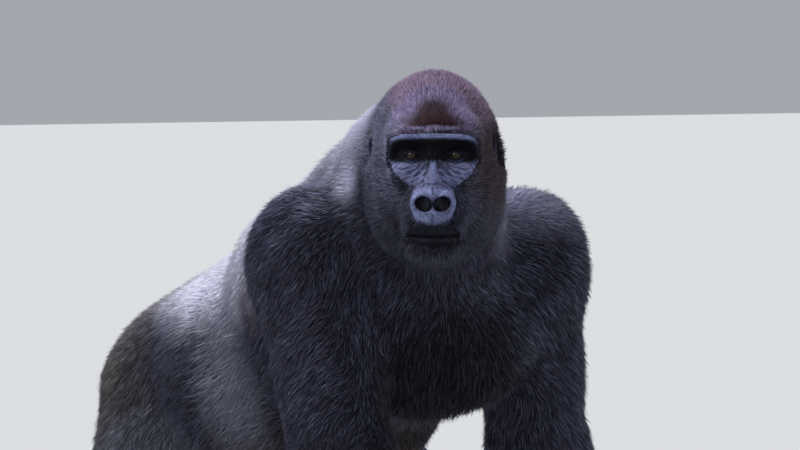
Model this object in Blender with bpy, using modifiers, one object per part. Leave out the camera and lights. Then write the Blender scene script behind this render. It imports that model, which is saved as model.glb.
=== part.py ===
"""Adult male western lowland gorilla, life size, standing still on its knuckles.

Metres, +Z up.  The animal faces -Y, its right side is -X, and it stands on
the plane Z = 0 with the origin under the middle of its outline.  The head is
turned to the animal's right.  The solids reach the tips of the coat.

The flesh is a list of lumps, balls and tapered limbs, each with a blend
width.  They are remeshed into one body, whose points are then drawn onto the
blended surface.  Head, hands and feet are made finer than the rest, from the
same lumps.  Thin cuts part the flesh into the pieces an anatomist names.
"""
import math

import bmesh
import bpy
import numpy as np
from mathutils import Euler, Matrix, Vector

COLLECTION = "gorilla"

# Driving sizes
NECK_ROOT = Vector((0.0, -0.290, 0.875))
ARM = {                         # shoulder, elbow and wrist; -1 is the right side
    -1: (Vector((-0.183, -0.335, 0.870)), Vector((-0.172, -0.442, 0.552)), Vector((-0.160, -0.462, 0.195))),
    1: (Vector((0.188, -0.320, 0.858)), Vector((0.240, -0.272, 0.537)), Vector((0.226, -0.335, 0.195))),
}
LEG = {                         # hip, knee and ankle
    -1: (Vector((-0.120, 0.350, 0.610)), Vector((-0.215, 0.215, 0.375)), Vector((-0.190, 0.385, 0.100))),
    1: (Vector((0.120, 0.345, 0.610)), Vector((0.212, 0.150, 0.380)), Vector((0.190, 0.300, 0.100))),
}
SIDE_NAME = {-1: "right", 1: "left"}

HEAD_PLACE = Vector((-0.078, -0.555, 1.045))   # between the ears, level with the eyes
HEAD_TURN = Euler((0, 0, math.radians(-26.5)))

FINGER_PITCH = 0.0305
FINGER_RADIUS = 0.0180
FINGER_REACH = (-0.006, 0.0, -0.001, -0.010)   # index, middle, ring, little
TOE_PITCH = 0.0235
TOE_RADIUS = 0.0135

EYE = Vector((0.0325, -0.1040, 0.0010))    # left eye in the head's frame
EYE_RADIUS = 0.0125
EAR_CUT = 0.0940      # how far from the braincase's middle plane the ears part from it
LEAN = -0.004         # the braincase and its coat lean to the animal's right

GAP = 0.0004          # between neighbouring pieces
REGIONS = {           # voxel size and triangle budget of each flesh mesh
    "body": (0.0070, 2400),
    "head": (0.0030, 1900),
    "hand": (0.0030, 430),
    "foot": (0.0030, 330),
}

MATERIALS = {
    "coat": ((0.035, 0.032, 0.036), 0.75),
    "saddle": ((0.33, 0.32, 0.34), 0.75),
    "crown": ((0.060, 0.034, 0.034), 0.75),
    "bare_skin": ((0.055, 0.056, 0.066), 0.5),
    "eye": ((0.045, 0.022, 0.012), 0.1),
}

MATERIAL_OF = {
    "head": "crown", "jaw": "coat", "ear": "bare_skin", "eye": "eye", "neck": "coat", "chest": "coat",
    "abdomen": "saddle", "pelvis": "saddle", "upper_arm": "coat", "forearm": "coat", "hand": "bare_skin",
    "thigh": "saddle", "shank": "coat", "foot": "bare_skin",
}


# ---------------------------------------------------------------- lumps
class Lump:
    """A ball or a tapered limb in its own frame, with the width of its blend."""

    def __init__(self, blend, frame=None, cut=False):
        self.blend = blend
        self.frame = frame or Matrix.Identity(4)
        self.cut = cut

    def local(self, points):
        inverse = np.array(self.frame.inverted(), np.float32)
        return points @ inverse[:3, :3].T + inverse[:3, 3]


class Ball(Lump):
    def __init__(self, centre, radii, turn=(0, 0, 0), blend=0.03, frame=None, cut=False):
        place = Matrix.Translation(centre) @ Euler([math.radians(a) for a in turn]).to_matrix().to_4x4()
        super().__init__(blend, (frame or Matrix.Identity(4)) @ place, cut)
        self.radii = np.array(radii, np.float32)

    def distance(self, points):
        place = self.local(points)
        near = np.linalg.norm(place / self.radii, axis=1)
        slope = np.linalg.norm(place / self.radii**2, axis=1)
        return near * (near - 1) / np.maximum(slope, 1e-6)

    def add_to(self, bm):
        size = Matrix.Diagonal((*map(float, self.radii), 1))
        bmesh.ops.create_icosphere(bm, subdivisions=3, radius=1, matrix=self.frame @ size)


class Limb(Lump):
    def __init__(self, start, end, radius, end_radius, blend=0.03, frame=None, cut=False):
        super().__init__(blend, frame, cut)
        self.start, self.end = Vector(start), Vector(end)
        self.radius, self.end_radius = radius, end_radius

    def distance(self, points):
        place = self.local(points) - np.array(self.start, np.float32)
        along = np.array(self.end - self.start, np.float32)
        share = np.clip(place @ along / float(along @ along), 0, 1)
        thick = self.radius + (self.end_radius - self.radius) * share
        return np.linalg.norm(place - share[:, None] * along, axis=1) - thick

    def add_to(self, bm, detail=2):
        ends = bmesh.new()
        for centre, radius in ((self.start, self.radius), (self.end, self.end_radius)):
            place = self.frame @ Matrix.Translation(centre)
            bmesh.ops.create_icosphere(ends, subdivisions=detail, radius=radius, matrix=place)
        bmesh.ops.delete(ends, geom=list(ends.edges), context="EDGES_FACES")
        bmesh.ops.convex_hull(ends, input=ends.verts)
        inside = [vert for vert in ends.verts if not vert.link_faces]
        bmesh.ops.delete(ends, geom=inside, context="VERTS")
        mesh = bpy.data.meshes.new("limb")
        ends.to_mesh(mesh)
        ends.free()
        bm.from_mesh(mesh)
        bpy.data.meshes.remove(mesh)


def body_distance(lumps, points):
    """Signed distance to the blended body."""
    total = np.full(len(points), 1.0, np.float32)
    for lump in lumps:
        sign = -1 if lump.cut else 1
        here = sign * lump.distance(points)
        share = np.clip(0.5 + sign * 0.5 * (here - total) / lump.blend, 0, 1)
        total = here + (total - here) * share - sign * lump.blend * share * (1 - share)
    return total


def draw_onto_surface(mesh, lumps, rounds=4):
    """Moves each point of a mesh along the slope of the distance until it lies on the body."""
    points = np.empty(len(mesh.vertices) * 3, np.float32)
    mesh.vertices.foreach_get("co", points)
    points = points.reshape(-1, 3)
    small = 1e-3
    for _ in range(rounds):
        here = body_distance(lumps, points)
        slope = np.stack([
            (body_distance(lumps, points + np.eye(3, dtype=np.float32)[axis] * small) - here) / small
            for axis in range(3)], axis=1)
        steep = np.maximum((slope**2).sum(axis=1), 0.25)
        points -= np.clip(here / steep, -0.008, 0.008)[:, None] * slope
    mesh.vertices.foreach_set("co", points.ravel())
    mesh.update()


# ---------------------------------------------------------------- anatomy
def trunk():
    lumps = [
        Ball((0, -0.140, 0.795), (0.206, 0.300, 0.200), turn=(-14, 0, 0)),     # rib cage
        Ball((0, 0.105, 0.668), (0.236, 0.270, 0.208), turn=(-6, 0, 0), blend=0.06),   # belly
        Ball((0, 0.360, 0.672), (0.185, 0.175, 0.135), turn=(-20, 0, 0), blend=0.06),  # pelvis
        Ball((0, -0.345, 0.780), (0.170, 0.115, 0.160), blend=0.05),                  # breast
        Limb((0, -0.240, 0.930), (0, 0.365, 0.725), 0.100, 0.092, blend=0.06),        # spine
    ]
    for side in (-1, 1):
        blade = Ball((side * 0.106, -0.170, 0.868), (0.090, 0.190, 0.098), turn=(-16, 0, 0), blend=0.06)
        lumps += [
            blade,
            Ball((side * 0.090, -0.370, 0.760), (0.095, 0.085, 0.105), blend=0.04),    # breast muscle
            Ball((side * 0.100, 0.430, 0.628), (0.094, 0.088, 0.118), blend=0.05),     # buttock
            Ball((side * 0.130, 0.270, 0.695), (0.080, 0.130, 0.090), turn=(-14, 0, 0), blend=0.05),   # loin
        ]
    return lumps


def neck():
    turn = HEAD_TURN.to_matrix()
    skull_back = HEAD_PLACE + turn @ Vector((0, 0.045, -0.040))
    crest_back = HEAD_PLACE + turn @ Vector((0, 0.068, 0.034))
    ridge_front = HEAD_PLACE + turn @ Vector((-0.016, 0.080, 0.018))
    ridge_back = HEAD_PLACE + turn @ Vector((-0.042, 0.130, -0.024))
    return [
        Limb(NECK_ROOT, skull_back, 0.158, 0.108, blend=0.05),
        Limb((-0.012, -0.270, 0.955), crest_back, 0.128, 0.084, blend=0.05),   # nape
        Limb(ridge_back, ridge_front, 0.103, 0.080, blend=0.03),               # its ridge, bunched by the turn
    ]


def arm(side):
    shoulder, elbow, wrist = ARM[side]
    middle = elbow.lerp(wrist, 0.40)
    upper = shoulder.lerp(elbow, 0.52)
    return [
        Ball(shoulder + Vector((side * 0.002, -0.004, 0.002)), (0.092, 0.108, 0.120), blend=0.05),   # deltoid
        Limb(shoulder, elbow, 0.088, 0.070, blend=0.04),
        Ball(upper + Vector((0, 0.034, 0)), (0.062, 0.064, 0.130), blend=0.04),     # triceps
        Ball(upper + Vector((0, -0.036, -0.01)), (0.058, 0.050, 0.100), blend=0.04),   # biceps
        Ball(elbow + Vector((0, 0.020, 0)), (0.066, 0.066, 0.110), blend=0.05),    # long hair at the elbow
        Limb(elbow, middle, 0.074, 0.075, blend=0.05),
        Limb(middle, wrist, 0.075, 0.048, blend=0.04),
    ]


def hand(side):
    """The hand on its knuckles: the fingers fold back under the palm, and their middle bones carry it."""
    wrist = ARM[side][2]
    lumps = []
    for number, reach in enumerate(FINGER_REACH):
        across = side * (number - 1.5) * FINGER_PITCH
        radius = FINGER_RADIUS * (0.9 if number == 3 else 1.0)
        start = wrist + Vector((across * 0.55, 0.004, 0.030))
        root = Vector((wrist.x + across, wrist.y - 0.018, 0.092))
        bend = Vector((wrist.x + across * 1.08, wrist.y - 0.052 + 0.4 * reach, radius * 1.00))
        fold = Vector((wrist.x + across * 1.05, wrist.y - 0.006 - 0.6 * reach, radius * 0.93))
        tip = Vector((wrist.x + across, wrist.y + 0.016 - reach, 0.033))
        lumps += [
            Limb(start, root, radius * 1.25, radius * 1.20, blend=0.016),
            Limb(root, bend, radius * 1.08, radius * 1.08, blend=0.006),
            Limb(bend, fold, radius * 1.05, radius * 0.98, blend=0.004),
            Limb(fold, tip, radius * 0.95, radius * 0.78, blend=0.004),
        ]
    inner = Vector((wrist.x - side * 0.044, wrist.y + 0.010, 0.158))
    joint = Vector((wrist.x - side * 0.062, wrist.y - 0.006, 0.106))
    tip = Vector((wrist.x - side * 0.060, wrist.y - 0.022, 0.070))
    lumps += [
        Ball(wrist + Vector((0, 0.014, -0.050)), (0.054, 0.028, 0.066), blend=0.020),   # heel of the hand
        Limb(inner, joint, 0.020, 0.0145, blend=0.012),
        Limb(joint, tip, 0.0142, 0.0110, blend=0.005),
    ]
    return lumps


def leg(side):
    hip, knee, ankle = LEG[side]
    calf = knee.lerp(ankle, 0.38)
    seat = hip + Vector((-side * 0.006, 0.080, -0.015))
    return [
        Limb(hip, knee, 0.126, 0.088, blend=0.05),
        Limb(seat, knee + Vector((0, 0.050, 0.030)), 0.080, 0.060, blend=0.05),        # hamstrings
        Ball(hip.lerp(knee, 0.45) + Vector((side * 0.018, 0.010, 0)), (0.090, 0.110, 0.120), blend=0.04),
        Ball(knee + Vector((0, -0.002, 0)), (0.080, 0.076, 0.088), blend=0.05),
        Limb(knee, calf, 0.078, 0.080, blend=0.04),
        Limb(calf, ankle, 0.080, 0.056, blend=0.04),
        Ball(calf + Vector((0, 0.020, 0)), (0.060, 0.058, 0.090), turn=(28, 0, 0), blend=0.03),
    ]


def foot(side):
    """The foot flat on its sole, four toes forward and the great toe apart on the inner side."""
    ankle = LEG[side][2]
    heel = Vector((ankle.x - side * 0.004, ankle.y + 0.034, 0.0368))
    instep = Vector((ankle.x, ankle.y - 0.045, 0.050))
    lumps = [
        Limb(ankle, heel, 0.052, 0.038, blend=0.03),
        Ball(instep, (0.045, 0.092, 0.045), turn=(16, 0, 0), blend=0.03),
    ]
    for number in range(4):
        across = side * (number - 1.0) * TOE_PITCH
        root = Vector((ankle.x + across * 0.9 + side * 0.006, ankle.y - 0.125 + 0.008 * number, 0.0178))
        joint = root + Vector((across * 0.10, -0.040 + 0.004 * number, -0.0045))
        tip = joint + Vector((across * 0.04, -0.026, -0.0022))
        lumps += [
            Limb((ankle.x + across * 0.5, ankle.y - 0.020, 0.032), root, 0.026, 0.0185, blend=0.016),
            Limb(root, joint, 0.0165, TOE_RADIUS, blend=0.007),
            Limb(joint, tip, TOE_RADIUS * 0.98, TOE_RADIUS * 0.86, blend=0.004),
        ]
    base = Vector((ankle.x - side * 0.030, ankle.y - 0.040, 0.0263))
    joint = Vector((ankle.x - side * 0.066, ankle.y - 0.100, 0.0196))
    tip = Vector((ankle.x - side * 0.078, ankle.y - 0.142, 0.0157))
    lumps += [
        Limb(base, joint, 0.027, 0.0205, blend=0.016),
        Limb(joint, tip, 0.0190, 0.0165, blend=0.006),
    ]
    return lumps


def head_frame():
    return Matrix.Translation(HEAD_PLACE) @ HEAD_TURN.to_matrix().to_4x4()


def head_ball(centre, radii, blend, turn=(0, 0, 0), cut=False):
    return Ball(centre, radii, turn=turn, blend=blend, frame=head_frame(), cut=cut)


def head_limb(start, end, radius, end_radius, blend):
    return Limb(start, end, radius, end_radius, blend=blend, frame=head_frame())


def skull():
    lumps = [
        head_ball((LEAN, 0.018, -0.028), (0.0925, 0.112, 0.148), 0.03, turn=(-10, 0, 0)),   # braincase
        head_ball((0, -0.060, 0.026), (0.072, 0.058, 0.050), 0.03),       # forehead
        head_ball((0, -0.055, -0.055), (0.068, 0.068, 0.085), 0.03),      # middle of the face
        head_ball((0, -0.100, -0.085), (0.052, 0.066, 0.046), 0.025),     # muzzle
        head_ball((0, -0.078, -0.132), (0.047, 0.066, 0.034), 0.025),     # lower jaw
    ]
    for side in (-1, 1):
        lumps.append(head_ball((side * 0.0440 + LEAN / 2, -0.015, -0.080), (0.048, 0.072, 0.072), 0.03))   # cheek
    return lumps


def face():
    """Brow, sockets, nose and lips."""
    lumps = []
    for side in (-1, 1):
        above = (side * 0.0380, -0.1165, 0.0320)     # the brow over the eye, then at its outer corner
        corner = (side * 0.0600, -0.0980, 0.0240)
        foot = (side * 0.0640, -0.0880, -0.0060)
        lumps += [
            head_limb((0, -0.1185, 0.0300), above, 0.0120, 0.0120, 0.010),
            head_limb(above, corner, 0.0120, 0.0110, 0.006),
            head_limb(corner, foot, 0.0110, 0.0095, 0.006),
            head_ball((side * 0.037, -0.0960, -0.0250), (0.031, 0.024, 0.0215), 0.010),     # cheekbone
        ]
    for side in (-1, 1):
        lumps.append(head_ball((side * 0.0350, -0.1320, 0.0070), (0.0260, 0.0240, 0.0135), 0.008, cut=True))
    lumps += [
        head_limb((0, -0.1090, 0.0120), (0, -0.1330, -0.0330), 0.0110, 0.0140, 0.012),      # nose bridge
        head_limb((0, -0.1330, -0.0330), (0, -0.1500, -0.0560), 0.0140, 0.0130, 0.010),
        head_ball((0, -0.1400, -0.0980), (0.047, 0.030, 0.024), 0.016),       # upper lip
        head_ball((0, -0.1290, -0.1360), (0.038, 0.028, 0.021), 0.010),       # lower lip and chin
    ]
    for side in (-1, 1):
        lumps += [
            head_ball((side * 0.0160, -0.1500, -0.0680), (0.0175, 0.0180, 0.0200), 0.007),  # wing of the nose
            head_ball((side * EYE.x, -0.1040, 0.0010), (0.0170, 0.0140, 0.0120), 0.006),    # lids
        ]
    lumps.append(head_ball((0, -0.1540, -0.0850), (0.0240, 0.0140, 0.0120), 0.008))
    for side in (-1, 1):
        nostril = (side * 0.0134, -0.1700, -0.0670)
        opening = (side * EYE.x, -0.1210, 0)
        lumps += [
            head_ball(nostril, (0.0108, 0.0170, 0.0100), 0.004, cut=True),
            head_ball(opening, (0.0120, 0.0080, 0.0045), 0.002, cut=True),
        ]
    return lumps


def ears():
    lumps = []
    for side in (-1, 1):
        turn = (10, 0, side * 24)
        hollow = (side * 0.1040 + LEAN, 0.0140, 0.0060)
        lumps += [
            head_ball((side * 0.0930 + LEAN, 0.0200, 0.0040), (0.0100, 0.0140, 0.0200), 0.005, turn=turn),
            head_ball(hollow, (0.0080, 0.0090, 0.0130), 0.004, turn=turn, cut=True),
        ]
    return lumps


# ---------------------------------------------------------------- meshes
def clear_scene():
    for obj in list(bpy.data.objects):
        bpy.data.objects.remove(obj)


def collection_named(name):
    made = bpy.data.collections.new(name)
    bpy.context.scene.collection.children.link(made)
    return made


def object_from(name, bm, collection):
    mesh = bpy.data.meshes.new(name)
    bm.to_mesh(mesh)
    bm.free()
    obj = bpy.data.objects.new(name, mesh)
    collection.objects.link(obj)
    return obj


def copy_of(obj, name):
    made = bpy.data.objects.new(name, obj.data.copy())
    obj.users_collection[0].objects.link(made)
    return made


def apply_modifiers(obj):
    """Replaces the object's mesh by what its modifiers make of it."""
    graph = bpy.context.evaluated_depsgraph_get()
    mesh = bpy.data.meshes.new_from_object(obj.evaluated_get(graph))
    old = obj.data
    obj.modifiers.clear()
    obj.data = mesh
    bpy.data.meshes.remove(old)


def remeshed(obj, voxel):
    remesh = obj.modifiers.new("one body", "REMESH")
    remesh.mode = "VOXEL"
    remesh.voxel_size = voxel
    apply_modifiers(obj)


def flesh(name, region, lumps, collection):
    """One closed mesh of the blended lumps, thinned to the region's budget."""
    voxel, triangles = REGIONS[region]
    bm = bmesh.new()
    for lump in lumps:
        if not lump.cut:
            lump.add_to(bm)
    obj = object_from(name, bm, collection)
    remeshed(obj, 1.6 * voxel)
    draw_onto_surface(obj.data, lumps, rounds=5)
    remeshed(obj, voxel)
    draw_onto_surface(obj.data, lumps)
    return obj, triangles


def thinned(obj, triangles):
    thin = obj.modifiers.new("thin", "DECIMATE")
    thin.ratio = triangles / sum(len(p.vertices) - 2 for p in obj.data.polygons)
    apply_modifiers(obj)


def is_closed(mesh):
    bm = bmesh.new()
    bm.from_mesh(mesh)
    closed = all(edge.is_manifold for edge in bm.edges)
    bm.free()
    return closed


def combine(obj, cutter, operation):
    """A Boolean of the object with a cutter, moved a hair and cut again until the result is closed."""
    before = obj.data.copy()
    for attempt in range(8):
        boolean = obj.modifiers.new(operation, "BOOLEAN")
        boolean.operation = operation
        boolean.object = cutter
        boolean.solver = "EXACT"
        boolean.use_self = attempt % 2 == 1
        apply_modifiers(obj)
        if is_closed(obj.data):
            break
        print(obj.name, operation, "attempt", attempt, "left open edges")
        obj.data = before.copy()
        cutter.data.transform(Matrix.Translation((3e-5, 4e-5, 2e-5)))
    bpy.data.meshes.remove(before)
    old = cutter.data
    bpy.data.objects.remove(cutter)
    bpy.data.meshes.remove(old)


def half_space(point, normal, collection, reach=2.0):
    """A block that fills the side of a plane its normal points to."""
    turn = Vector(normal).to_track_quat("Z", "Y").to_matrix().to_4x4()
    place = Matrix.Translation(point) @ turn @ Matrix.Translation((0, 0, reach / 2))
    bm = bmesh.new()
    bmesh.ops.create_cube(bm, size=reach, matrix=place)
    return object_from("cutter", bm, collection)


def block(low, high, frame, collection):
    low, high = Vector(low), Vector(high)
    bm = bmesh.new()
    place = frame @ Matrix.Translation((low + high) / 2) @ Matrix.Diagonal((*(high - low), 1))
    bmesh.ops.create_cube(bm, size=1, matrix=place)
    return object_from("cutter", bm, collection)


def capsule(start, end, radius, end_radius, collection):
    bm = bmesh.new()
    Limb(start, end, radius, end_radius).add_to(bm, detail=1)
    return object_from("cutter", bm, collection)


def split_plane(obj, name, point, normal, cutters):
    """Parts an object at a plane; what lies on the side of the normal becomes a new object."""
    normal = Vector(normal).normalized()
    beyond = copy_of(obj, name)
    combine(obj, half_space(Vector(point) - normal * GAP / 2, normal, cutters), "DIFFERENCE")
    combine(beyond, half_space(Vector(point) + normal * GAP / 2, -normal, cutters), "DIFFERENCE")
    return beyond


def islands(obj):
    """Vertex index lists of the separate bodies in a mesh."""
    bm = bmesh.new()
    bm.from_mesh(obj.data)
    bm.verts.ensure_lookup_table()
    seen, found = set(), []
    for seed in bm.verts:
        if seed.index in seen:
            continue
        stack, group = [seed], []
        seen.add(seed.index)
        while stack:
            vert = stack.pop()
            group.append(vert.index)
            for edge in vert.link_edges:
                other = edge.other_vert(vert)
                if other.index not in seen:
                    seen.add(other.index)
                    stack.append(other)
        found.append(group)
    bm.free()
    return found


def keep_vertices(obj, kept):
    bm = bmesh.new()
    bm.from_mesh(obj.data)
    bm.verts.ensure_lookup_table()
    gone = [vert for vert in bm.verts if vert.index not in kept]
    bmesh.ops.delete(bm, geom=gone, context="VERTS")
    bm.to_mesh(obj.data)
    bm.free()


def take_lowest(obj, name):
    """Moves the body whose centre is lowest to a new object."""
    taken = copy_of(obj, name)
    groups = [group for group in islands(obj) if len(group) > 50]
    heights = [sum(obj.data.vertices[i].co.z for i in group) / len(group) for group in groups]
    lowest = groups[heights.index(min(heights))]
    keep_vertices(taken, set(lowest))
    keep_vertices(obj, set(range(len(obj.data.vertices))) - set(lowest))


def drop_crumbs(obj):
    """Keeps only the largest body of a piece: what a cell's corner shaves off beside it goes."""
    largest = max(islands(obj), key=len)
    if len(largest) < len(obj.data.vertices):
        keep_vertices(obj, set(largest))


def below(point, collection):
    """A block that holds one hand or foot: all that lies under a point, near it."""
    place = Matrix.Translation((point.x, point.y, 0))
    return block((-0.16, -0.30, -0.05), (0.16, 0.20, point.z), place, collection)


def stand_on_floor(obj, cutters):
    combine(obj, half_space((0, 0, 0), (0, 0, -1), cutters), "DIFFERENCE")


def make_head(cutters, parts):
    """Head, jaw, ears and eyes, cut from one fine mesh of the head."""
    frame = head_frame()
    head, triangles = flesh("head", "head", neck() + skull() + face() + ears(), parts)
    point, normal = neck_plane()
    combine(head, half_space(point - normal * GAP / 2, normal, cutters), "DIFFERENCE")
    thinned(head, triangles)
    mouth = frame @ Vector((0, -0.165, -0.1165))
    across = frame.to_3x3() @ Vector((0, -0.20, -1))
    jaw = split_plane(head, "jaw", mouth, across, cutters)
    for side in (-1, 1):
        name = "ear_" + SIDE_NAME[side]
        ear = copy_of(head, name)
        low = Vector((min(side * EAR_CUT, side * 0.14) + LEAN, -0.004, -0.024))
        high = Vector((max(side * EAR_CUT, side * 0.14) + LEAN, 0.046, 0.034))
        grown = Vector((GAP, GAP, GAP))
        combine(ear, block(low, high, frame, cutters), "INTERSECT")
        combine(head, block(low - grown, high + grown, frame, cutters), "DIFFERENCE")
        centre = frame @ Vector((side * EYE.x, EYE.y, EYE.z))
        combine(head, ball_cutter(centre, EYE_RADIUS + GAP, cutters), "DIFFERENCE")
        eye = ball_cutter(centre, EYE_RADIUS, parts)
        eye.name = "eye_" + SIDE_NAME[side]


def neck_plane():
    frame = head_frame()
    return frame @ Vector((0, 0.045, -0.040)), frame.to_3x3() @ Vector((0, 0.909, -0.417))


def ball_cutter(centre, radius, collection):
    bm = bmesh.new()
    bmesh.ops.create_uvsphere(bm, u_segments=12, v_segments=8, radius=radius,
                              matrix=Matrix.Translation(centre))
    return object_from("cutter", bm, collection)


def make_hand(side, cutters, parts):
    hand_mesh, triangles = flesh("hand_" + SIDE_NAME[side], "hand", arm(side)[5:] + hand(side), parts)
    wrist = ARM[side][2]
    combine(hand_mesh, below(wrist, cutters), "INTERSECT")
    thinned(hand_mesh, triangles)
    stand_on_floor(hand_mesh, cutters)


def make_foot(side, cutters, parts):
    foot_mesh, triangles = flesh("foot_" + SIDE_NAME[side], "foot", leg(side)[3:] + foot(side), parts)
    ankle = LEG[side][2]
    combine(foot_mesh, below(ankle, cutters), "INTERSECT")
    thinned(foot_mesh, triangles)
    stand_on_floor(foot_mesh, cutters)


def make_body(cutters, parts):
    """Neck, trunk and limbs without hands and feet, cut from one mesh."""
    lumps = trunk() + neck()
    for side in (-1, 1):
        lumps += arm(side) + leg(side)
    body, triangles = flesh("abdomen", "body", lumps + skull(), parts)
    thinned(body, triangles)
    point, normal = neck_plane()
    combine(body, half_space(point + normal * GAP / 2, -normal, cutters), "DIFFERENCE")
    for end in (ARM[-1][2], ARM[1][2], LEG[-1][2], LEG[1][2]):
        combine(body, below(end + Vector((0, 0, GAP)), cutters), "DIFFERENCE")
    for side in (-1, 1):
        for joints, radii, out, upper, lower in (
                (ARM[side], (0.142, 0.112), 0.032, "upper_arm_", "forearm_"),
                (LEG[side], (0.165, 0.128), 0.024, "thigh_", "shank_")):
            top, middle, _ = joints
            top = top + Vector((side * out, 0, 0))
            piece = copy_of(body, upper + SIDE_NAME[side])
            combine(piece, capsule(top, middle, *radii, cutters), "INTERSECT")
            grown = [radius + 2 * GAP for radius in radii]
            combine(body, capsule(top, middle, *grown, cutters), "DIFFERENCE")
            take_lowest(body, lower + SIDE_NAME[side])
    chest = split_plane(body, "chest", (0, 0.000, 0.80), (0, -1, 0.14), cutters)
    split_plane(body, "pelvis", (0, 0.235, 0.70), (0, 1, -0.10), cutters)
    split_plane(chest, "neck", (-0.02, -0.385, 0.950), (-0.20, -0.80, 0.56), cutters)


def material_of(name):
    kind = next(MATERIAL_OF[start] for start in MATERIAL_OF if name.startswith(start))
    if kind in bpy.data.materials:
        return bpy.data.materials[kind]
    colour, roughness = MATERIALS[kind]
    made = bpy.data.materials.new(kind)
    made.use_nodes = True
    shader = made.node_tree.nodes["Principled BSDF"]
    shader.inputs["Base Color"].default_value = (*colour, 1)
    shader.inputs["Roughness"].default_value = roughness
    made.diffuse_color = (*colour, 1)
    return made


def centre_on_origin(parts):
    """Moves the animal along the floor until the origin is under the middle of its outline."""
    points = [v.co for obj in parts.objects for v in obj.data.vertices]
    low = [min(point[axis] for point in points) for axis in (0, 1)]
    high = [max(point[axis] for point in points) for axis in (0, 1)]
    shift = Vector((-(low[0] + high[0]) / 2, -(low[1] + high[1]) / 2, 0))
    for obj in parts.objects:
        obj.data.transform(Matrix.Translation(shift))
    print("shift", [round(value, 6) for value in shift])


def main():
    clear_scene()
    parts = collection_named(COLLECTION)
    cutters = collection_named("cutters")
    cutters.hide_render = True
    make_head(cutters, parts)
    make_body(cutters, parts)
    for side in (-1, 1):
        make_hand(side, cutters, parts)
        make_foot(side, cutters, parts)
    centre_on_origin(parts)
    for obj in parts.objects:
        drop_crumbs(obj)
        obj.data.materials.clear()
        obj.data.materials.append(material_of(obj.name))
        print(obj.name, "triangles", sum(len(p.vertices) - 2 for p in obj.data.polygons))
    bpy.data.collections.remove(cutters)


main()
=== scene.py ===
# A life-size silverback gorilla on all fours: one skin, its eyes and nails, and a coat of solid tufts.
import math

import bmesh
import bpy
import numpy as np
from mathutils import Euler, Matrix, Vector
from mathutils.bvhtree import BVHTree


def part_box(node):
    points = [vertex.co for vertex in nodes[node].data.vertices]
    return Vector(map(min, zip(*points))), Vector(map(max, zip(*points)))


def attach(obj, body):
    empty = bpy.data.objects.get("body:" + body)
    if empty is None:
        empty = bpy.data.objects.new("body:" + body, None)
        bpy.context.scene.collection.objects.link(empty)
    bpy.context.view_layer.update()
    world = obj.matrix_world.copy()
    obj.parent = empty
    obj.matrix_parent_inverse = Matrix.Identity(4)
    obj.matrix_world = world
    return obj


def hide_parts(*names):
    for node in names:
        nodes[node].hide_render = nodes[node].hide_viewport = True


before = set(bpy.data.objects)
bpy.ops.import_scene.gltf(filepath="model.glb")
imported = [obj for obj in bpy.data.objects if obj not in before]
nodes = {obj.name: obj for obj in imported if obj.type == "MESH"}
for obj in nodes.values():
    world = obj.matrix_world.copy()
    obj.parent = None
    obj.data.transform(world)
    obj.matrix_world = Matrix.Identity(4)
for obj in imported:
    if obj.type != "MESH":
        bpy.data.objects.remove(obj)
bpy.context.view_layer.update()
scene = bpy.context.scene


def middleOf(*names):
    corners = [np.array(corner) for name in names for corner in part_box(name)]
    return (np.min(corners, axis=0) + np.max(corners, axis=0)) / 2


def smoothStep(value, low, high):
    share = np.clip((value - low) / (high - low), 0, 1)
    return share * share * (3 - 2 * share)


def lengthOf(vectors):
    return np.linalg.norm(vectors, axis=1)


def unit(vectors):
    return vectors / np.maximum(lengthOf(vectors), 1e-9)[:, None]


def nearestOn(start, end, points):
    # how far along a straight line the nearest place to each point is, and the gap to there
    along = end - start
    share = np.clip((points - start) @ along / (along @ along), 0, 1)
    return share, lengthOf(points - start - share[:, None] * along)


# The head's own frame: x to its left, -y forwards, z up, metres, from the two eyes.

headPlace = {
    "eyeForward": 0.104,   # from the frame's origin to the line between the eyes
    "eyeRise": 0.001,
}


def headFrame():
    right, left = middleOf("eye_right"), middleOf("eye_left")
    across = (left - right) / np.linalg.norm(left - right)
    axes = np.array([across, np.cross((0, 0, 1), across), (0, 0, 1)]).T
    origin = (left + right) / 2 - axes @ (0, -headPlace["eyeForward"], headPlace["eyeRise"])
    return origin, axes


headOrigin, headAxes = headFrame()
headTurn = math.atan2(headAxes[1, 0], headAxes[0, 0])


def toHead(points):
    return (points - headOrigin) @ headAxes


def fromHead(points):
    return np.asarray(points) @ headAxes.T + headOrigin


def mirrored(local, middle=0.0):
    # both sides of the head as one, on the left
    return np.stack([np.abs(local[:, 0] - middle), local[:, 1], local[:, 2]], axis=1)


stageSetup = {
    "cameraTurn": -25.0,        # degrees round from straight ahead of the body
    "cameraRise": 3.0,          # degrees above the horizon
    "distance": 8.0,            # from the camera to the head
    "viewWidth": 1.194,         # metres across the picture at the head
    "aim": (-0.0522, -0.097),   # where the picture's middle lies beside and above the head's middle
    "headMiddle": (0.0, 0.0, -0.01),
    "floorSize": 60.0,
    "floorColour": (0.42, 0.42, 0.415),
    "floorMottle": (0.97, 3.0),   # share of the colour in its darker places, and their scale
    "worldColour": (0.88, 0.92, 1.0),
    "worldStrength": 0.42,
    "lamps": (                  # name, turn, rise, width in degrees, strength, colour
        ("keyLight", -82, 48, 35, 2.0, (1.0, 0.98, 0.96)),
        ("topLight", -150, 60, 45, 3.0, (0.92, 0.95, 1.0)),
        ("fillLight", 50, 35, 60, 0.45, (0.88, 0.93, 1.0)),
    ),
}


def directionFrom(turn, rise):
    turn, rise = math.radians(turn), math.radians(rise)
    return Vector((math.sin(turn) * math.cos(rise), -math.cos(turn) * math.cos(rise), math.sin(rise)))


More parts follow.
